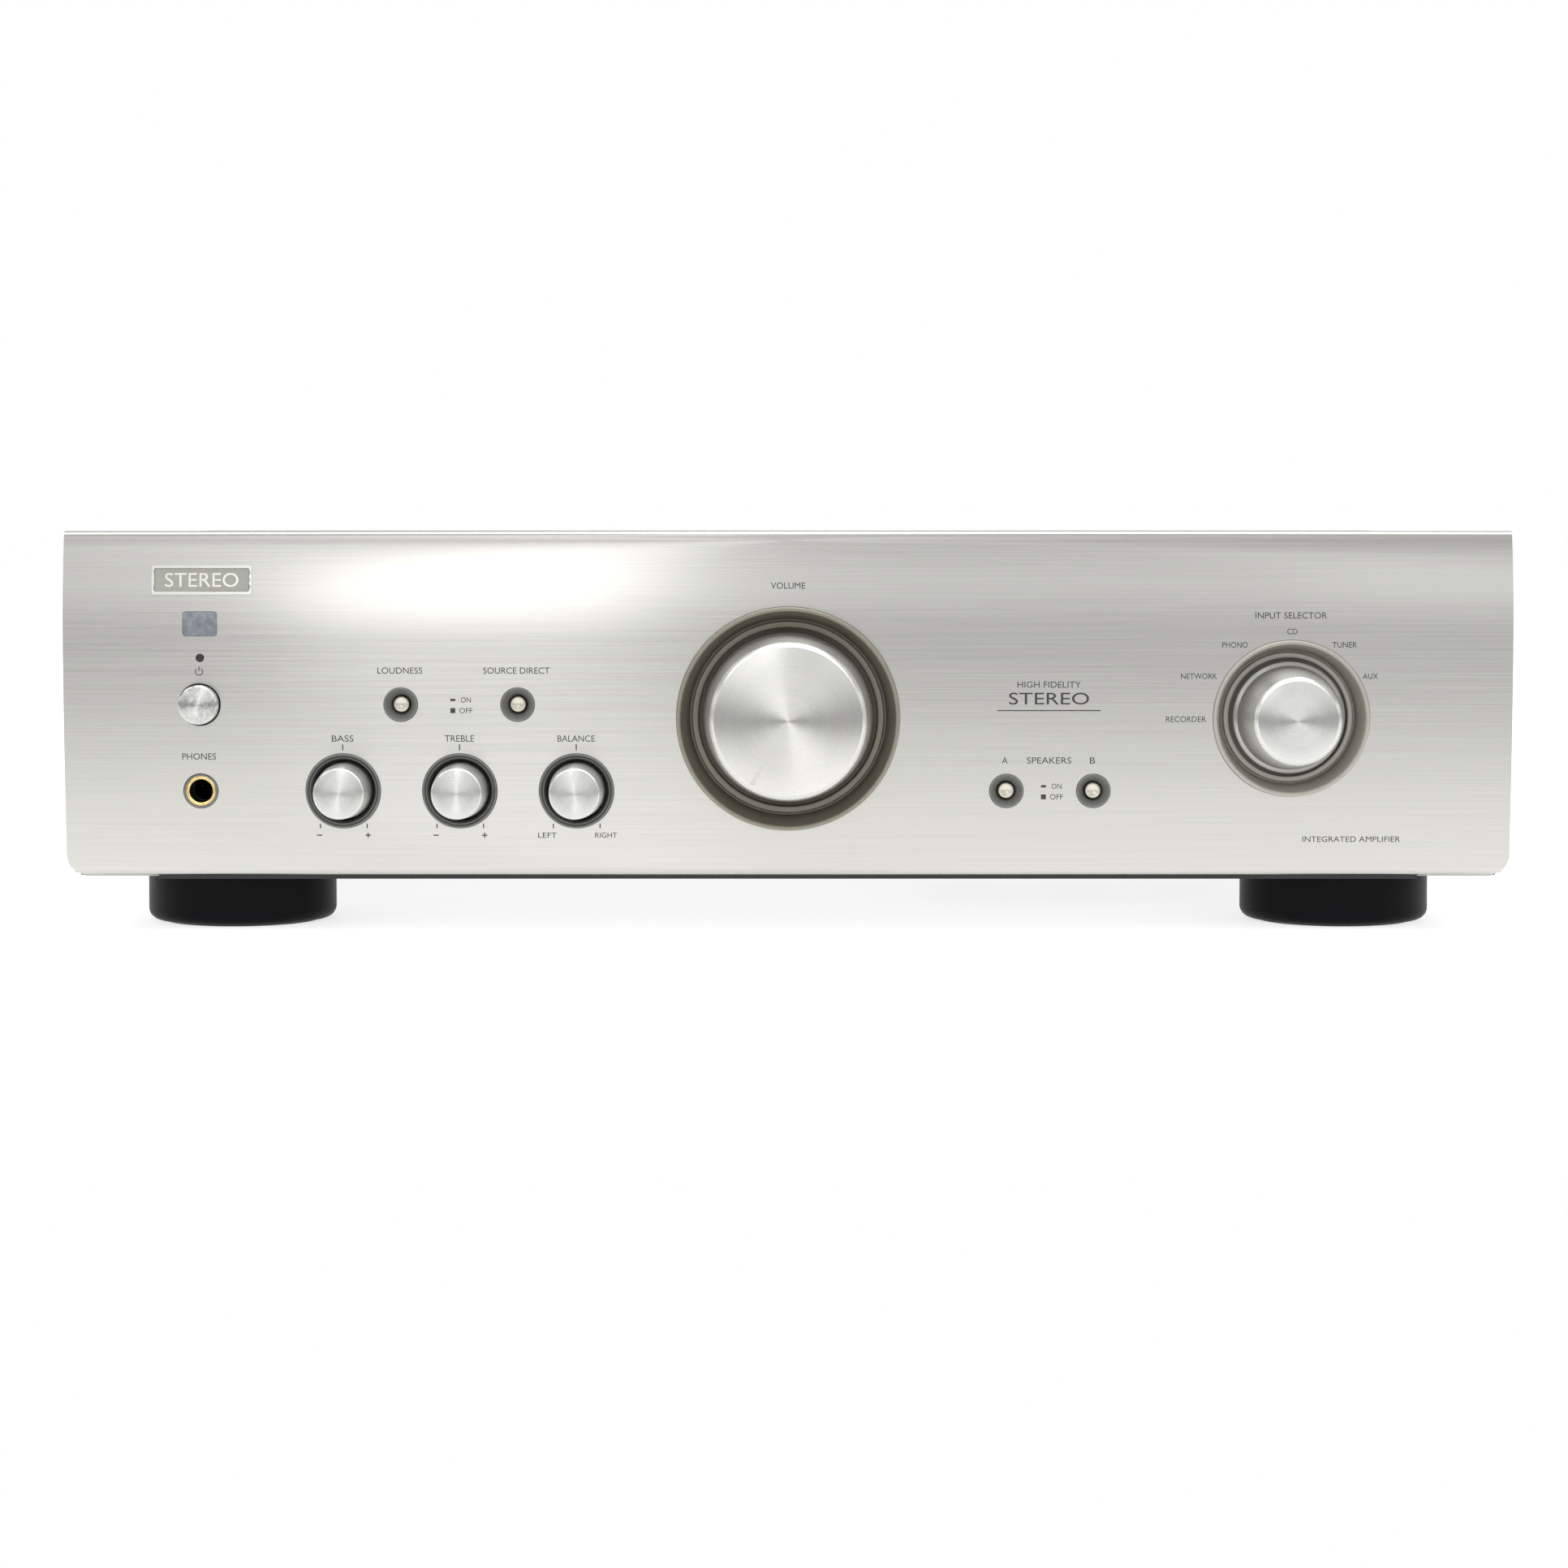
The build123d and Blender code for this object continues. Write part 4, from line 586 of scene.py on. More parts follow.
section = panel_section()
print("section edges:", len(section.edges), "lip reaches", round(max(v.co.z for v in section.verts) / MM, 2))

# %% The panel's body
bmesh.ops.contextual_create(section, geom=section.edges[:])
whole = bmesh.ops.extrude_face_region(section, geom=section.faces[:])
far_end = [item for item in whole["geom"] if isinstance(item, bmesh.types.BMVert)]
bmesh.ops.translate(section, vec=(panel_high.x - panel_low.x, 0, 0), verts=far_end)
bmesh.ops.recalc_face_normals(section, faces=section.faces)
ends = [e for e in section.edges
        if any(abs(f.normal.x) > 0.9 for f in e.link_faces)
        and (e.verts[0].co.y + e.verts[1].co.y) / 2 < panel_high.y - 1.5 * MM]
bmesh.ops.bevel(section, geom=ends, offset=0.8 * MM, offset_type="OFFSET", segments=3, profile=0.5,
                affect="EDGES", clamp_overlap=True, material=-1)
panel = piece_from(section, "brushed_panel", brushed, "case")
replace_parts(panel, "front_panel")
print("panel faces:", len(panel.data.polygons))

# %% [markdown]
# ### Holes in the panel
#
# Every hole takes its place and size from the part that sits in it. The two bottom corners are rounded
# by keeping only what lies inside a rounded slab.

# %% Rounded bottom corners
CORNER = 6.5 * MM
slab = bmesh.new()
bar(slab, (panel_low.x - MM, panel_low.y - 5 * MM, panel_low.z),
    (panel_high.x + MM, panel_high.y + 5 * MM, panel_high.z + 20 * MM))
bmesh.ops.translate(slab, vec=(MM, 0, 0), verts=[v for v in slab.verts if v.co.x < 0])
bmesh.ops.translate(slab, vec=(-MM, 0, 0), verts=[v for v in slab.verts if v.co.x > 0])
low_edges = [e for e in slab.edges if all(v.co.z < panel_low.z + MM for v in e.verts)
             and abs(e.verts[0].co.x - e.verts[1].co.x) < 0.01 * MM]
bmesh.ops.bevel(slab, geom=low_edges, offset=CORNER, offset_type="OFFSET", segments=12, profile=0.5,
                affect="EDGES", clamp_overlap=True, material=-1)
bmesh.ops.scale(slab, vec=(1.00001, 1, 1), verts=slab.verts)
cut(panel, slab, "INTERSECT")
print("panel faces after rounding:", len(panel.data.polygons))

# %% Round and square holes
CLEAR = 0.1 * MM
hole_front, hole_back = panel_low.y - 6 * MM, panel_high.y + 6 * MM
rotary = {"volume": 33.5 * MM, "selector": 23.5 * MM, "bass": 11.25 * MM, "treble": 11.25 * MM,
          "balance": 11.25 * MM}
buttons = ("loudness", "direct", "speaker_a", "speaker_b")
BUTTON_RIM = 5.1 * MM
holes = bmesh.new()


def hole(centre, radius, segments=96):
    rod(holes, (centre.x, hole_front, centre.z), (centre.x, hole_back, centre.z), radius, segments)


for control, rim in rotary.items():
    hole(middle(control + "_knob"), rim + CLEAR, 160 if rim > 20 * MM else 96)
for control in buttons:
    hole(middle(control + "_button"), BUTTON_RIM + CLEAR, 64)
hole(middle("power_button"), 6.4 * MM)
hole(middle("power_led"), 1.25 * MM, 32)
hole(middle("phones_ring"), 5.3 * MM, 64)
window_low, window_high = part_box("remote_window")
window_cut = bar(holes, (window_low.x - CLEAR, hole_front, window_low.z - CLEAR),
                 (window_high.x + CLEAR, hole_back, window_high.z + CLEAR))
window_corners = [e for e in holes.edges if all(v in window_cut for v in e.verts)
                  and abs(e.verts[0].co.y - e.verts[1].co.y) > MM]
bmesh.ops.bevel(holes, geom=window_corners, offset=1.0 * MM, offset_type="OFFSET", segments=5, profile=0.5,
                affect="EDGES", clamp_overlap=True, material=-1)
cut(panel, holes)
print("panel faces with holes:", len(panel.data.polygons))


# %% [markdown]
# The boolean leaves long flat faces of uneven size, and shading averaged over them would ripple. The
# bow's true slope is known at every height, so the panel's front gets exact normals instead.

# %% Exact normals on the bow
def true_normals(mesh):
    """Gives the front of the bow its exact normals and leaves every other corner automatic."""
    for polygon in mesh.polygons:
        polygon.use_smooth = True
    mesh.set_sharp_from_angle(angle=radians(32))
    normals = [Vector((0.0, 0.0, 0.0))] * len(mesh.loops)
    exact = 0
    for polygon in mesh.polygons:
        if polygon.normal.y > -0.95 or abs(polygon.normal.x) > 0.01:
            continue
        for index in polygon.loop_indices:
            place = mesh.vertices[mesh.loops[index].vertex_index].co
            if abs(place.y - surface_y(place.z)) < 0.02 * MM:
                normals[index] = surface_normal(place.z)
                exact += 1
    mesh.normals_split_custom_set(normals)
    return exact


print("corners with exact normals:", true_normals(panel.data))

# %% [markdown]
# ## Trim rings
#
# The volume and selector knobs stand in deep dishes. Each dish is an ABS ring pushed through from
# behind: a narrow rim that stands just proud of the panel, a wall that slopes inward to a dark groove,
# and a lighter step round the knob.


# %% Dished rings of the two large knobs
def dish(name, node, knob, rim, groove, step, material, body="case"):
    """Spins a dished ring; rim, groove and step are its three main radii."""
    centre = middle(knob)
    front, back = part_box(node)[0].y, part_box(node)[1].y
    groove_y = panel_low.y + 9.6 * MM
    outline = [
        (rim, back), (rim, front + 0.5 * MM), (rim - 0.35 * MM, front), (rim - 0.9 * MM, front),
        (rim - 1.3 * MM, front + 0.35 * MM), (groove + 0.25 * MM, groove_y - 0.6 * MM),
        (groove + 0.25 * MM, groove_y + 0.6 * MM), (groove - 0.35 * MM, groove_y + 0.6 * MM),
        (groove - 0.35 * MM, groove_y - 1.1 * MM), (groove - 0.75 * MM, groove_y - 1.35 * MM),
        (step + 0.3 * MM, groove_y - 1.2 * MM), (step, groove_y - 0.8 * MM), (step, groove_y + 2.0 * MM),
        (8.0 * MM, groove_y + 2.0 * MM), (8.0 * MM, back)]
    ring = piece_from(turned(outline, centre, steps=160), name, material, body)
    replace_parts(ring, node)
    return ring


dish("volume_dish", "volume_bezel", "volume_knob", 33.5 * MM, 29.4 * MM, 26.9 * MM, trim)
dish("selector_dish", "selector_bezel", "selector_knob", 23.5 * MM, 20.0 * MM, 17.8 * MM, pale_trim)


# %% [markdown]
# The tone controls have narrow dark rings with one fine bright line, and the four small buttons sit at
# the bottom of small funnels.

# %% Small rings
def tone_ring(control):
    centre = middle(control + "_knob")
    front = surface_y(centre.z) - 0.8 * MM
    rim = rotary[control]
    outline = [
        (rim, panel_high.y), (rim, front + 0.35 * MM), (rim - 0.3 * MM, front), (rim - 0.55 * MM, front),
        (10.25 * MM, front + 0.9 * MM), (10.1 * MM, front + 0.55 * MM), (9.85 * MM, front + 0.55 * MM),
        (9.7 * MM, front + 0.9 * MM), (9.35 * MM, front + 2.2 * MM), (9.05 * MM, front + 5.0 * MM),
        (9.05 * MM, front + 8.0 * MM), (6.0 * MM, front + 8.0 * MM), (6.0 * MM, front + 9.0 * MM),
        (rim, front + 9.0 * MM)]
    lathed = turned(outline, centre, steps=96, bevel=0.06 * MM)
    ring = piece_from(lathed, control + "_ring", dark_trim, "case")
    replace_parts(ring, "small_bezels")
    return ring


def funnel(control):
    centre = middle(control + "_button")
    front = surface_y(centre.z) - 0.5 * MM
    bore = 2.8 * MM
    outline = [
        (BUTTON_RIM, panel_high.y), (BUTTON_RIM, front + 0.25 * MM), (4.95 * MM, front), (4.7 * MM, front),
        (4.45 * MM, front + 0.3 * MM), (3.2 * MM, front + 2.6 * MM), (bore, front + 3.2 * MM),
        (bore, panel_high.y)]
    lathed = turned(outline, centre, steps=64, bevel=0.06 * MM)
    ring = piece_from(lathed, control + "_funnel", dark_trim, "case")
    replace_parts(ring, "small_bezels")
    return ring


for control in ("bass", "treble", "balance"):
    tone_ring(control)
for control in buttons:
    funnel(control)
print("small rings:", 3 + len(buttons))

# %% [markdown]
# ## Knobs
#
# Each knob is a shallow cone turned from bar, with a flat face and a narrow bright chamfer that a
# diamond tool cuts last. The chamfer is a real bevel with its own brighter material. The pointer is
# a short groove milled near the rim of the face, turned to where the control stands at rest.


# %% A turned knob
def turned_knob(control, face_radius, base_radius, chamfer, colour, skirt=0.0, steps=128):
    """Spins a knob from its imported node's depth, and gives its chamfer the brighter finish."""
    node = control + "_knob"
    low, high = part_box(node)
    centre = middle(node)
    face_y, base_y = low.y, high.y
    dip = 0.05 * MM
    outline = [(0.0, face_y + dip), (face_radius * 0.6, face_y + dip * 0.6),
               (face_radius - chamfer, face_y), (face_radius, face_y + chamfer)]
    if skirt:
        outline += [(base_radius, base_y - 2.4 * MM), (base_radius + skirt, base_y - 2.0 * MM),
                    (base_radius + skirt, base_y)]
    else:
        outline += [(base_radius, base_y)]
    outline += [(base_radius - 2.2 * MM, base_y), (face_radius - 3.0 * MM, face_y + 3 * MM),
                (5.6 * MM, face_y + 3 * MM), (5.6 * MM, base_y - MM), (0.0, base_y - MM)]
    bm = turned(outline, centre, steps=steps, bevel=0.0)
    corner = [e for e in bm.edges if e.is_manifold and e.calc_face_angle() > radians(30)]
    bmesh.ops.bevel(bm, geom=corner, offset=0.12 * MM, offset_type="OFFSET", segments=2, profile=0.5,
                    affect="EDGES", clamp_overlap=True, material=-1)
    knob = piece_from(bm, control + "_dial", turned_finish(control + "_turned_aluminium", node, colour),
                      control_body(control))
    knob.data.materials.append(chamfer_metal)
    near = chamfer * 1.2
    for polygon in knob.data.polygons:
        slope = -polygon.normal.y
        out = Vector((polygon.center.x - centre.x, polygon.center.z - centre.z)).length
        if 0.3 < slope < 0.95 and out > face_radius - near and polygon.center.y < face_y + near:
            polygon.material_index = 1
    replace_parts(knob, node)
    return knob


def control_body(control):
    """The moving body that a control's knob belongs to."""
    return frame["nodes"][control + "_knob"]["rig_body"]


# %% Pointer grooves
def pointer(knob, control, angle, reach, length, width, depth=0.35 * MM):
    """Mills a round-ended groove into a knob's face, at an angle clockwise from the top."""
    centre = middle(control + "_knob")
    face_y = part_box(control + "_knob")[0].y
    tool = bmesh.new()
    half = length / 2 - width / 2
    bar(tool, (-width / 2, -2 * MM, reach - half), (width / 2, depth, reach + half))
    ends = [e for e in tool.edges if abs(e.verts[0].co.y - e.verts[1].co.y) > MM]
    bmesh.ops.bevel(tool, geom=ends, offset=width * 0.49, offset_type="OFFSET", segments=4, profile=0.5,
                    affect="EDGES", clamp_overlap=True, material=-1)
    turn = Matrix.Rotation(radians(angle), 4, "Y")
    place = Matrix.Translation((centre.x, face_y, centre.z))
    bmesh.ops.transform(tool, matrix=place @ turn, verts=tool.verts)
    cut(knob, tool)
    for polygon in knob.data.polygons:
        polygon.use_smooth = True
    knob.data.set_sharp_from_angle(angle=radians(32))
    return knob


volume_dial = turned_knob("volume", 23.3 * MM, 25.6 * MM, 1.3 * MM, "dad9d4", steps=160)
pointer(volume_dial, "volume", -150, 19.6 * MM, 5.0 * MM, 0.9 * MM)
turned_knob("selector", 13.1 * MM, 15.6 * MM, 1.2 * MM, "dadad7", skirt=1.2 * MM)
for control, angle in (("bass", 48), ("treble", -8), ("balance", 0)):
    tone_dial = turned_knob(control, 7.65 * MM, 8.6 * MM, 0.5 * MM, "cececb", steps=96)
    pointer(tone_dial, control, angle, 5.7 * MM, 2.6 * MM, 0.5 * MM)
print("knobs turned:", 5)

# %% [markdown]
# ## Floor
#
# A pale paper sweep under the unit. It gives the panel and the feet something light to reflect from
# below, and it glows a little, so that it runs out into the white background with no horizon.

# %% Paper floor
paper = finish("white_paper", "bcbcba", 0.7, Emission_Color=(1.0, 1.0, 1.0, 1.0), Emission_Strength=0.74)
grain(paper, 6 * MM, colours=("bababa", "bebebc"))
PAPER_FRONT = -0.56
sweep = bmesh.new()
bmesh.ops.create_grid(sweep, x_segments=2, y_segments=2, size=4.0)
bmesh.ops.translate(sweep, vec=(0, PAPER_FRONT + 4.0, 0), verts=sweep.verts)
sweep_mesh = bpy.data.meshes.new("paper_sweep")
sweep.to_mesh(sweep_mesh)
sweep.free()
sweep_mesh.materials.append(paper)
floor = bpy.data.objects.new("paper_sweep", sweep_mesh)
bpy.context.scene.collection.objects.link(floor)
print("floor is", round(floor.dimensions.x, 1), "m wide")

# %% [markdown]
# ## Push buttons
#
# The four small switches have champagne aluminium caps with a shallow dimple for the fingertip, and
# they latch below the rims of their funnels. The power button is larger, with a flat turned face that
# stands proud of the panel. Both are turned, so both are spun.


# %% Small buttons
def small_button(control):
    node = control + "_button"
    low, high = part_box(node)
    face, edge = low.y, 2.5 * MM
    outline = [
        (0.0, face + 0.40 * MM), (0.35 * edge, face + 0.36 * MM), (0.62 * edge, face + 0.05 * MM),
        (0.72 * edge, face), (0.84 * edge, face + 0.04 * MM), (0.95 * edge, face + 0.25 * MM),
        (edge, face + 0.6 * MM), (edge, face + 7.0 * MM), (1.9 * MM, face + 7.0 * MM), (1.9 * MM, high.y),
        (0.0, high.y)]
    cap = piece_from(turned(outline, middle(node), steps=64, bevel=0.04 * MM), control + "_cap", button_metal,
                     frame["nodes"][node]["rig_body"], smooth_below=50)
    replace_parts(cap, node)
    return cap


for control in buttons:
    small_button(control)

# %% Power button
power_low, power_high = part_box("power_button")
face, edge = power_low.y, (power_high.x - power_low.x) / 2
power_outline = [
    (0.0, face + 0.03 * MM), (edge - 0.45 * MM, face), (edge, face + 0.45 * MM), (edge, face + 14 * MM),
    (3.0 * MM, face + 14 * MM), (3.0 * MM, power_high.y), (0.0, power_high.y)]
worn_face = turned_finish("power_turned_aluminium", "power_button", colour="d0d0cd", roughness=0.3)
grain(worn_face, 1.1 * MM, colours=("bcbcba", "dededa"), roughness=(0.24, 0.38), relief=0.003 * MM)
power_cap = piece_from(turned(power_outline, middle("power_button"), steps=96, bevel=0.08 * MM), "power_cap",
                       worn_face, "power_switch")
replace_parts(power_cap, "power_button")
print("power button stands out", round((surface_y(middle("power_button").z) - face) / MM, 1), "mm")

# %% [markdown]
# ## Lamp, remote window and badge
#
# The lamp is a light pipe with a low dome, dark while the unit is off. The remote control's receiver
# looks out through a grey-blue tinted window flush with the panel. The badge is a shallow tray with
# a polished border and a plain raised word for what the unit is.


# %% Faces in a region of a piece
def recolour(piece, material, chosen):
    """Gives a second material to the faces for which chosen(polygon) is true, and counts them."""
    piece.data.materials.append(material)
    index = len(piece.data.materials) - 1
    count = 0
    for polygon in piece.data.polygons:
        if chosen(polygon):
            polygon.material_index = index
            count += 1
    return count


# %% Lamp and window
refined("power_led", "standby_lamp", lens_led, smooth_below=60)
refined("remote_window", "remote_lens", lens_window)
print("window is", round((window_high.x - window_low.x) / MM, 1), "mm wide")

# %% Badge
polished = finish("polished_aluminium", "c9c9c4", 0.18, metallic=1.0)
grain(polished, 0.6 * MM, roughness=(0.14, 0.24))
badge_field = finish("satin_badge_plate", "a4a49c", 0.5, metallic=0.7)
grain(badge_field, 0.3 * MM, colours=("9e9e96", "aaaaa2"), roughness=(0.46, 0.55), stretch=(60, 6, 1))
badge = refined("name_badge", "badge_plate", polished)
badge_low, badge_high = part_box("name_badge")


def in_badge_field(polygon):
    """True for faces of the badge inside its border."""
    c = polygon.center
    inside_x = badge_low.x + 0.9 * MM < c.x < badge_high.x - 0.9 * MM
    inside_z = badge_low.z + 0.9 * MM < c.z < badge_high.z - 0.9 * MM
    return inside_x and inside_z and polygon.normal.y < -0.5


print("badge faces in the field:", recolour(badge, badge_field, in_badge_field))

# %% [markdown]
# ## Headphone socket
#
# A gold-plated collar with a sloped mouth sits in a dark grey ring. The ring's dark grey is painted shade for
# the narrow gap between the collar and the panel's hole. Inside the bore the moulding is black and two spring
# contacts show.

# %% Socket collar
ring_low, ring_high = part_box("phones_ring")
phones = middle("phones_ring")
MOUTH = 3.45 * MM
# Painted shade: a thin dark grey ring fills the gap round the collar, where there would only be shade.
gap_shade_ring_outline = [
    (5.2 * MM, ring_high.y), (5.2 * MM, ring_low.y + 0.5 * MM), (4.9 * MM, ring_low.y + 0.15 * MM),
    (4.5 * MM, ring_low.y + 0.15 * MM), (4.5 * MM, ring_high.y)]
gap_shade_ring = piece_from(turned(gap_shade_ring_outline, phones, steps=64, bevel=0.05 * MM), "phones_gap_shade_ring",
                       dark_trim, "case")
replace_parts(gap_shade_ring, "phones_ring")
collar_outline = [
    (4.5 * MM, ring_high.y), (4.5 * MM, ring_low.y + 0.25 * MM), (4.2 * MM, ring_low.y),
    (3.85 * MM, ring_low.y), (MOUTH, ring_low.y + 0.35 * MM), (MOUTH, ring_high.y)]
collar = piece_from(turned(collar_outline, phones, steps=64, bevel=0.04 * MM), "phones_collar", gold, "case")
recolour(collar, black_nylon,
         lambda p: hypot(p.center.x - phones.x, p.center.z - phones.z) < MOUTH + 0.02 * MM)
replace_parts(collar, "phones_ring")
refined("phones_jack", "phones_moulding", black_nylon)
contacts = bmesh.new()
for side in (-1, 1):
    root = Vector((phones.x + side * 2.9 * MM, ring_high.y + 16 * MM, phones.z))
    rod(contacts, root, root + Vector((-side * 0.9 * MM, 6 * MM, 0)), 0.35 * MM, 10)
    rod(contacts, root + Vector((-side * 0.9 * MM, 6 * MM, 0)), root + Vector((0, 9 * MM, 0)), 0.35 * MM, 10)
springs = piece_from(contacts, "phones_contacts", nickel, "case")
print("collar mouth radius", round(MOUTH / MM, 1), "mm")

# %% [markdown]
# ## Printed legends
#
# The lettering is screen printed: a film of ink about 0.02 mm thick that follows the bow. Blender's
# text object gives the letters as flat faces. They are scaled to their printed size, laid onto the bow
# by setting each vertex's depth, and given a little thickness so that they are real shapes.

# %% Letters and marks
INK_FILM = 0.03 * MM


def letters(bm, words, x, z, width, height, mirrored=False):
    """Adds words to bm as flat faces in the XZ plane, centred on x and z, scaled to width and height."""
    curve = bpy.data.curves.new("words", "FONT")
    curve.body = words
    curve.resolution_u = 4
    holder = bpy.data.objects.new("words", curve)
    bpy.context.scene.collection.objects.link(holder)
    flat = bpy.data.meshes.new_from_object(holder)
    start = len(bm.verts)
    bm.from_mesh(flat)
    bm.verts.ensure_lookup_table()
    made = bm.verts[start:]
    low = Vector(min(v.co[i] for v in made) for i in range(2))
    high = Vector(max(v.co[i] for v in made) for i in range(2))
    size = high - low
    for v in made:
        across = ((v.co.x - low.x) / size.x - 0.5) * width
        up = ((v.co.y - low.y) / size.y - 0.5) * height
        v.co = (x - across if mirrored else x + across, 0.0, z + up)
    bpy.data.objects.remove(holder)
    bpy.data.curves.remove(curve)
    bpy.data.meshes.remove(flat)


def mark(bm, x, z, width, height):
    """Adds a small printed rectangle."""
    made = bmesh.ops.create_grid(bm, x_segments=1, y_segments=1, size=0.5)["verts"]
    bmesh.ops.rotate(bm, matrix=Matrix.Rotation(pi / 2, 3, "X"), verts=made)
    bmesh.ops.scale(bm, vec=(width, 1, height), verts=made)
    bmesh.ops.translate(bm, vec=(x, 0, z), verts=made)


def printed(bm, name, material, surface, outward=-1):
    """Lays flat artwork onto a surface, gives it the ink's thickness and makes it a piece."""
    grown = bmesh.ops.extrude_face_region(bm, geom=bm.faces[:])
    raised = {item for item in grown["geom"] if isinstance(item, bmesh.types.BMVert)}
    for v in bm.verts:
        lift = INK_FILM if v in raised else -INK_FILM / 2
        v.co.y = surface(v.co.z) + outward * lift
    piece = piece_from(bm, name, material, "case")
    return piece


# %% Names of the controls
CAP_HEIGHT = 1.9 * MM
legends = bmesh.new()
control_names = [
    ("VOLUME", "volume_knob", 0.0, 39.8, 10.3), ("BASS", "bass_knob", 0.0, 15.8, 6.5),
    ("TREBLE", "treble_knob", 0.0, 15.8, 8.8), ("BALANCE", "balance_knob", 0.0, 15.8, 11.2),
    ("LOUDNESS", "loudness_button", -0.2, 10.2, 13.4), ("SOURCE DIRECT", "direct_button", -0.3, 10.2, 19.9),
    ("PHONES", "phones_ring", -0.4, 10.4, 10.1), ("INPUT SELECTOR", "selector_knob", -0.3, 30.9, 21.4),
    ("A", "speaker_a_button", -0.5, 9.2, 1.7), ("B", "speaker_b_button", -0.3, 9.2, 1.6)]
for words, node, dx, dz, width in control_names:
    at = middle(node)
    letters(legends, words, at.x + dx * MM, at.z + dz * MM, width * MM, CAP_HEIGHT)
speakers_middle = (middle("speaker_a_button") + middle("speaker_b_button")) / 2
letters(legends, "SPEAKERS", speakers_middle.x - 0.3 * MM, speakers_middle.z + 9.2 * MM, 13.3 * MM,
        CAP_HEIGHT)
at = middle("selector_knob")
inputs = [("CD", 0.0, 26.1, 3.0), ("PHONO", -17.1, 22.1, 7.6), ("TUNER", 15.7, 22.1, 7.4),
          ("NETWORK", -27.8, 12.7, 10.8), ("AUX", 23.5, 12.7, 4.6), ("RECORDER", -31.6, -0.2, 12.0)]
for words, dx, dz, width in inputs:
    letters(legends, words, at.x + dx * MM, at.z + dz * MM, width * MM, 1.7 * MM)
print("legend faces:", len(legends.faces))

# %% Scales, on and off marks
for control in ("bass", "treble", "balance"):
    at = middle(control + "_knob")
    mark(legends, at.x, at.z + rotary[control] + 1.9 * MM, 0.35 * MM, 1.8 * MM)
    for side in (-1, 1):
        tick = [at.x + side * 7.0 * MM, at.z - 10.6 * MM]
        mark(legends, tick[0], tick[1], 0.35 * MM, 1.4 * MM)
        if control == "balance":
            letters(legends, "LEFT" if side < 0 else "RIGHT", at.x + side * 8.8 * MM, at.z - 13.4 * MM,
                    5.6 * MM if side < 0 else 6.6 * MM, 1.6 * MM)
        else:
            mark(legends, at.x + side * 7.3 * MM, at.z - 13.4 * MM, 1.6 * MM, 0.35 * MM)
            if side > 0:
                mark(legends, at.x + side * 7.3 * MM, at.z - 13.4 * MM, 0.35 * MM, 1.6 * MM)
for first, second in (("loudness_button", "direct_button"), ("speaker_a_button", "speaker_b_button")):
    at = (middle(first) + middle(second)) / 2
    for words, dz, thick, width in (("ON", 1.4, 0.7, 3.0), ("OFF", -1.8, 1.5, 3.9)):
        mark(legends, at.x - 1.9 * MM, at.z + dz * MM, 1.5 * MM, thick * MM)
        letters(legends, words, at.x + 2.0 * MM, at.z + dz * MM, width * MM, 1.6 * MM)

# %% Title, stereo mark and power sign
letters(legends, "INTEGRATED AMPLIFIER", 169.3 * MM, 28.4 * MM, 29.4 * MM, 1.7 * MM)
stereo_x, stereo_z = speakers_middle.x - 0.4 * MM, 70.8 * MM
letters(legends, "HIGH FIDELITY", stereo_x, stereo_z + 4.2 * MM, 19.0 * MM, 1.9 * MM)
letters(legends, "STEREO", stereo_x, stereo_z, 24.0 * MM, 3.6 * MM)
mark(legends, stereo_x, stereo_z - 3.6 * MM, 31.0 * MM, 0.3 * MM)
power_sign = middle("power_button") + Vector((0, 0, 9.9 * MM))
arc = bmesh.new()
spoke = [arc.verts.new((power_sign.x + r * sin(radians(35)), 0.0, power_sign.z + r * cos(radians(35))))
         for r in (0.95 * MM, 1.2 * MM)]
edge = arc.edges.new(spoke)
bmesh.ops.spin(arc, geom=[*spoke, edge], cent=(power_sign.x, 0.0, power_sign.z), axis=(0, 1, 0),
               angle=radians(290), steps=24)
arc_mesh = bpy.data.meshes.new("arc")
arc.to_mesh(arc_mesh)
arc.free()
legends.from_mesh(arc_mesh)
bpy.data.meshes.remove(arc_mesh)
mark(legends, power_sign.x, power_sign.z + 0.8 * MM, 0.3 * MM, 1.3 * MM)
bmesh.ops.recalc_face_normals(legends, faces=legends.faces)
print("legend faces with marks:", len(legends.faces))
printed(legends, "panel_legends", ink, surface_y)

# %% Word on the badge
badge_word = bmesh.new()
letters(badge_word, "STEREO", middle("name_badge").x, middle("name_badge").z, 22.0 * MM, 4.2 * MM)
badge_face = 0.2 * MM
word = printed(badge_word, "badge_word", polished, lambda z: surface_y(z) - badge_face)
print("badge letters stand", round((badge_face + INK_FILM) / MM, 2), "mm off the panel")

# %% [markdown]
# ## Case
#
# The cover, the tray and the rear panel are folded sheet steel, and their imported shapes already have
# the right bends, slots and holes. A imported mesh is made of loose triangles, which can only be shaded
# flat. A welded copy shades its bends and round holes smoothly, so the copies are shown instead.

# %% Sheet metal and its screws
refined("top_cover", "vented_cover", cover_paint)
tray = refined("chassis_tray", "folded_tray", zinc)
tray_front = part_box("chassis_tray")[0].y
# Painted shade: the tray's front-facing edge faces are made black to give the dark line under the panel's
# bottom edge.
lip = recolour(tray, black_nylon, lambda p: p.normal.y < -0.9 and p.center.y < tray_front + MM)
print("edging under the panel:", lip, "faces")
refined("rear_panel", "rear_plate", rear_paint)
refined("case_screws", "pan_head_screws", black_oxide, smooth_below=50)
cover_low, cover_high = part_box("top_cover")
print("cover is", round((cover_high.x - cover_low.x) / MM, 1), "mm wide")

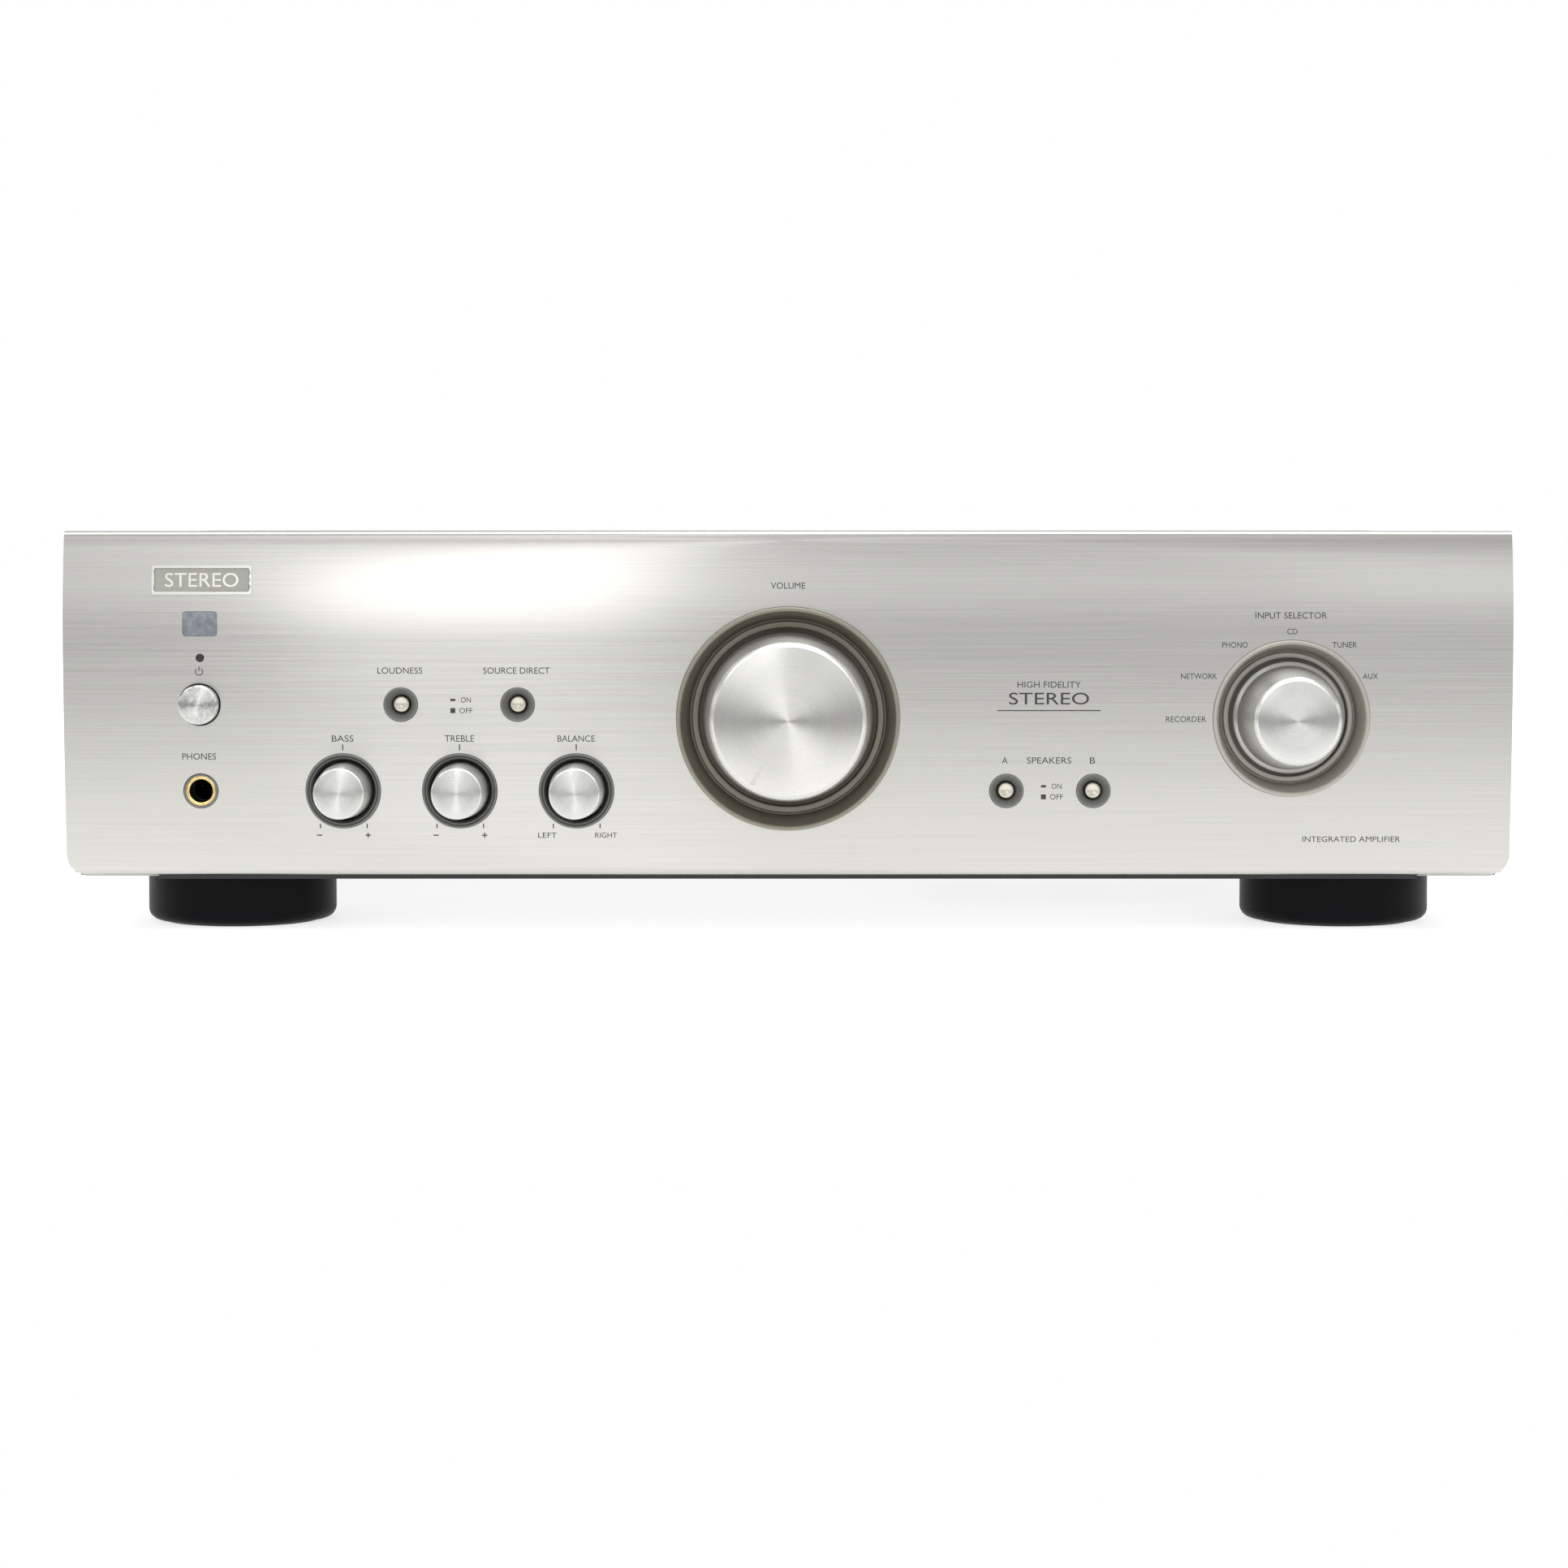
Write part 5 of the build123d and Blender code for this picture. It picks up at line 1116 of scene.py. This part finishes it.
# %% [markdown]
# ## Feet
#
# Four moulded drums with a rounded lower edge, screwed to the tray through a well in the middle. A ring
# of felt is glued into a seat underneath so that they don't mark furniture.

# %% Feet, pads and screws
refined("feet", "moulded_feet", foot_plastic, smooth_below=50)
refined("foot_pads", "felt_pads", felt)
refined("foot_screws", "foot_machine_screws", black_oxide, smooth_below=50)

# %% [markdown]
# ## Input sockets
#
# Seven pairs of phono sockets, white for left above red for right. Each has a plated sleeve, a coloured
# insulator a little below the sleeve's rim, and a plated tube for the plug's pin. The sleeves of all
# fourteen are one piece, as are the insulators of one colour, because they are the same turned shape
# gathered at fourteen places.


# %% Gathering repeated shapes
def gather(bm, part):
    """Adds the shape in the bmesh part to bm, and frees part."""
    mesh = bpy.data.meshes.new("part")
    part.to_mesh(mesh)
    part.free()
    bm.from_mesh(mesh)
    bpy.data.meshes.remove(mesh)


SLEEVE = 4.15 * MM
COLUMNS = 7
jack_low, jack_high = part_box("input_jacks")
column_pitch = (jack_high.x - jack_low.x - 2 * SLEEVE) / (COLUMNS - 1)
column_x = [jack_low.x + SLEEVE + i * column_pitch for i in range(COLUMNS)]
row_z = {"left": jack_high.z - SLEEVE, "right": jack_low.z + SLEEVE}
print("socket pitch", round(column_pitch / MM, 1), "mm")

# %% Sleeves, insulators and pin tubes
rim_y = jack_high.y
seat_y = rear_face + 0.8 * MM
sleeve_outline = [
    (3.4 * MM, seat_y - 3 * MM), (3.4 * MM, rim_y - 0.25 * MM), (3.6 * MM, rim_y), (3.85 * MM, rim_y),
    (SLEEVE, rim_y - 0.35 * MM), (SLEEVE, seat_y), (3.9 * MM, seat_y), (3.9 * MM, seat_y - 3 * MM)]
insulator_outline = [
    (1.65 * MM, jack_low.y), (1.65 * MM, rim_y - 0.9 * MM), (2.0 * MM, rim_y - 0.6 * MM),
    (3.39 * MM, rim_y - 0.6 * MM), (3.39 * MM, seat_y - 3 * MM), (2.9 * MM, jack_low.y)]
tube_outline = [
    (1.3 * MM, jack_low.y), (1.3 * MM, rim_y - 1.3 * MM), (1.45 * MM, rim_y - 1.1 * MM),
    (1.64 * MM, rim_y - 1.1 * MM), (1.64 * MM, jack_low.y)]
sleeves, tubes = bmesh.new(), bmesh.new()
for side, insulator_finish in (("left", insulator_white), ("right", insulator_red)):
    insulators = bmesh.new()
    for x in column_x:
        centre = (x, 0.0, row_z[side])
        gather(sleeves, turned(sleeve_outline, centre, steps=40, bevel=0.0))
        gather(tubes, turned(tube_outline, centre, steps=20, bevel=0.0))
        gather(insulators, turned(insulator_outline, centre, steps=32, bevel=0.0))
    piece_from(insulators, side + "_insulators", insulator_finish, "case")
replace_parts(piece_from(sleeves, "phono_sleeves", gold, "case"), "input_jacks")
piece_from(tubes, "pin_tubes", gold, "case")
print("phono sockets:", 2 * COLUMNS)

# %% Socket housing with coloured collars
housing = refined("input_jack_block", "socket_housing", black_nylon)
split_z = (row_z["left"] + row_z["right"]) / 2
for side, collar_finish in (("left", insulator_white), ("right", insulator_red)):
    upper = side == "left"
    count = recolour(housing, collar_finish, lambda p: p.center.y > rear_face + 0.05 * MM
                     and (p.center.z > split_z) == upper)
    print(side, "collar faces:", count)

# %% [markdown]
# ## Speaker terminals, earth post and mains inlet
#
# Screw caps in red and black polycarbonate stand on a moulded plate. Each cap turns on its threaded,
# gold-plated post. The earth post is plain nickel. The mains inlet is black nylon with three plated
# blades.

# %% Terminals
refined("terminal_plate", "terminal_moulding", black_nylon)
refined("speaker_posts", "threaded_posts", gold)
for number in range(1, 9):
    node = f"speaker_cap_{number}"
    refined(node, f"screw_cap_{number}", cap_red if slots[node] == "cap_red" else cap_black, smooth_below=24)
refined("ground_post", "earth_stud", nickel)
refined("ground_cap", "earth_knurled_cap", nickel, smooth_below=24)
print("screw caps:", 8)

# %% Mains inlet
inlet = refined("ac_inlet", "mains_inlet", black_nylon)
inlet_middle = middle("ac_inlet")
inlet_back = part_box("ac_inlet")[1].y - 15.6 * MM


def on_a_blade(polygon):
    """True for faces of the three blades inside the inlet's cavity."""
    c = polygon.center
    deep = inlet_back + 0.7 * MM < c.y < rear_face - 0.6 * MM
    return deep and abs(c.x - inlet_middle.x) < 8.5 * MM and abs(c.z - inlet_middle.z) < 4.5 * MM


print("blade faces:", recolour(inlet, nickel, on_a_blade))

# %% [markdown]
# ## Rear lettering
#
# Plain names for the sockets in dark ink on the painted panel, and white signs on the black plate. Seen
# from behind, +X is on the left, so the letters are mirrored as they are laid down.

# %% Names on the rear panel
rear_words = bmesh.new()
socket_names = ("IN", "OUT", "AUX", "NETWORK", "TUNER", "CD", "PHONO")
for x, words in zip(column_x, socket_names):
    letters(rear_words, words, x, row_z["right"] - 9.2 * MM, len(words) * 1.7 * MM, 1.9 * MM, mirrored=True)
letters(rear_words, "RECORDER", (column_x[0] + column_x[1]) / 2, row_z["right"] - 13.4 * MM, 14 * MM,
        1.9 * MM, mirrored=True)
mark(rear_words, (column_x[0] + column_x[1]) / 2, row_z["right"] - 11.3 * MM, 22 * MM, 0.3 * MM)
letters(rear_words, "INPUTS", (column_x[2] + column_x[-1]) / 2, row_z["left"] + 12.5 * MM, 14 * MM, 2.2 * MM,
        mirrored=True)
for words, z in (("L", row_z["left"]), ("R", row_z["right"])):
    letters(rear_words, words, column_x[0] - 10.5 * MM, z, 1.8 * MM, 2.4 * MM, mirrored=True)
earth = middle("ground_post")
letters(rear_words, "SIGNAL GND", earth.x - 1.0 * MM, earth.z - 9.0 * MM, 15 * MM, 1.9 * MM, mirrored=True)
letters(rear_words, "AC IN", inlet_middle.x, inlet_middle.z + 15.5 * MM, 9 * MM, 2.4 * MM, mirrored=True)
plate_middle, plate_top = middle("terminal_plate"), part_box("terminal_plate")[1].z
letters(rear_words, "SPEAKERS", plate_middle.x, plate_top + 4.6 * MM, 20 * MM, 2.4 * MM, mirrored=True)
printed(rear_words, "rear_legends", ink, lambda z: rear_face, outward=1)

# %% Signs on the terminal plate
plate_face = rear_face + 3.0 * MM
signs = bmesh.new()
for number in range(1, 9):
    at = middle(f"speaker_cap_{number}")
    mark(signs, at.x, at.z + 10.6 * MM, 2.4 * MM, 0.5 * MM)
    if slots[f"speaker_cap_{number}"] == "cap_red":
        mark(signs, at.x, at.z + 10.6 * MM, 0.5 * MM, 2.4 * MM)
for first, second, words in ((1, 2, "R  A"), (3, 4, "L  A"), (5, 6, "R  B"), (7, 8, "L  B")):
    at = (middle(f"speaker_cap_{first}") + middle(f"speaker_cap_{second}")) / 2
    letters(signs, words, at.x, at.z - 11.0 * MM, 7.0 * MM, 2.2 * MM, mirrored=True)
printed(signs, "terminal_signs", white_ink, lambda z: plate_face, outward=1)
print("socket names:", len(socket_names))

# %% [markdown]
# ## Inside
#
# Through the slots of the cover one sees the transformer, the heat sink, the boards and the backs of
# the controls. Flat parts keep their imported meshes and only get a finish. Round parts are shown as
# welded copies. The main board also gets its smallest components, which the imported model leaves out.


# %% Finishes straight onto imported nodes
def dress(material, *nodes):
    """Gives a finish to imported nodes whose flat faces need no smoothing."""
    for node in nodes:
        mesh = frame["nodes"][node].data
        mesh.materials.clear()
        mesh.materials.append(material)


dress(black_nylon, "front_frame", "board_relays", "power_transistors")
dress(laminate, "control_board", "main_board")
dress(switch_plastic, "push_switches")
dress(core_varnish, "transformer_core")
dress(fins, "heat_sink")
dress(nickel, "board_standoffs")
shafts = [control + "_shaft" for control in rotary]
for node in shafts:
    refined(node, node.replace("_shaft", "_spindle"), nickel)
for node, name in (("volume_pot", "motor_potentiometer"), ("selector_switch", "rotary_switch"),
                   ("tone_pots", "tone_potentiometers")):
    refined(node, name, zinc)
refined("transformer_coil", "taped_coil", tape)
cans = refined("capacitors", "electrolytic_cans", sleeve)
print("can tops:", recolour(cans, nickel, lambda p: p.normal.z > 0.97))

# %% Resistors and film capacitors
RESISTOR_ROWS = (52.0, 64.0, 76.0)
RESISTORS_PER_ROW = 14
BODY_HALF, LEAD_HALF = 3.2, 5.0
BODY_RADIUS, LEAD_RADIUS = 1.2 * MM, 0.3 * MM
FILM_CAPACITORS = 6
board_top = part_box("main_board")[1].z
resistors, films = bmesh.new(), bmesh.new()
for y in RESISTOR_ROWS:
    for i in range(RESISTORS_PER_ROW):
        x, z = (62.0 + 9.0 * i) * MM, board_top + 1.8 * MM
        for half, radius, sides in ((BODY_HALF, BODY_RADIUS, 12), (LEAD_HALF, LEAD_RADIUS, 6)):
            rod(resistors, (x, (y - half) * MM, z), (x, (y + half) * MM, z), radius, sides)
        for end in (y - LEAD_HALF, y + LEAD_HALF):
            rod(resistors, (x, end * MM, board_top - 0.5 * MM), (x, end * MM, z + 0.3 * MM), LEAD_RADIUS, 6)
for i in range(FILM_CAPACITORS):
    x = (150.0 + 7.0 * i) * MM
    box_low = (x - 2.2 * MM, -14 * MM, board_top)
    bar(films, box_low, (x + 2.2 * MM, -4 * MM, board_top + 9 * MM))
bevel_corners(films, 0.5 * MM)
resistor_paint = finish("beige_resistor_enamel", "c2a878", 0.45)
grain(resistor_paint, 1.5 * MM, colours=("b89c6c", "cdb487"))
film_case = finish("red_film_capacitor_case", "8a2a1c", 0.35)
grain(film_case, 1.0 * MM, colours=("80251a", "953022"))
piece_from(resistors, "resistors", resistor_paint, "case")
piece_from(films, "film_capacitors", film_case, "case")
print("resistors:", len(RESISTOR_ROWS) * RESISTORS_PER_ROW, "film capacitors:", FILM_CAPACITORS)
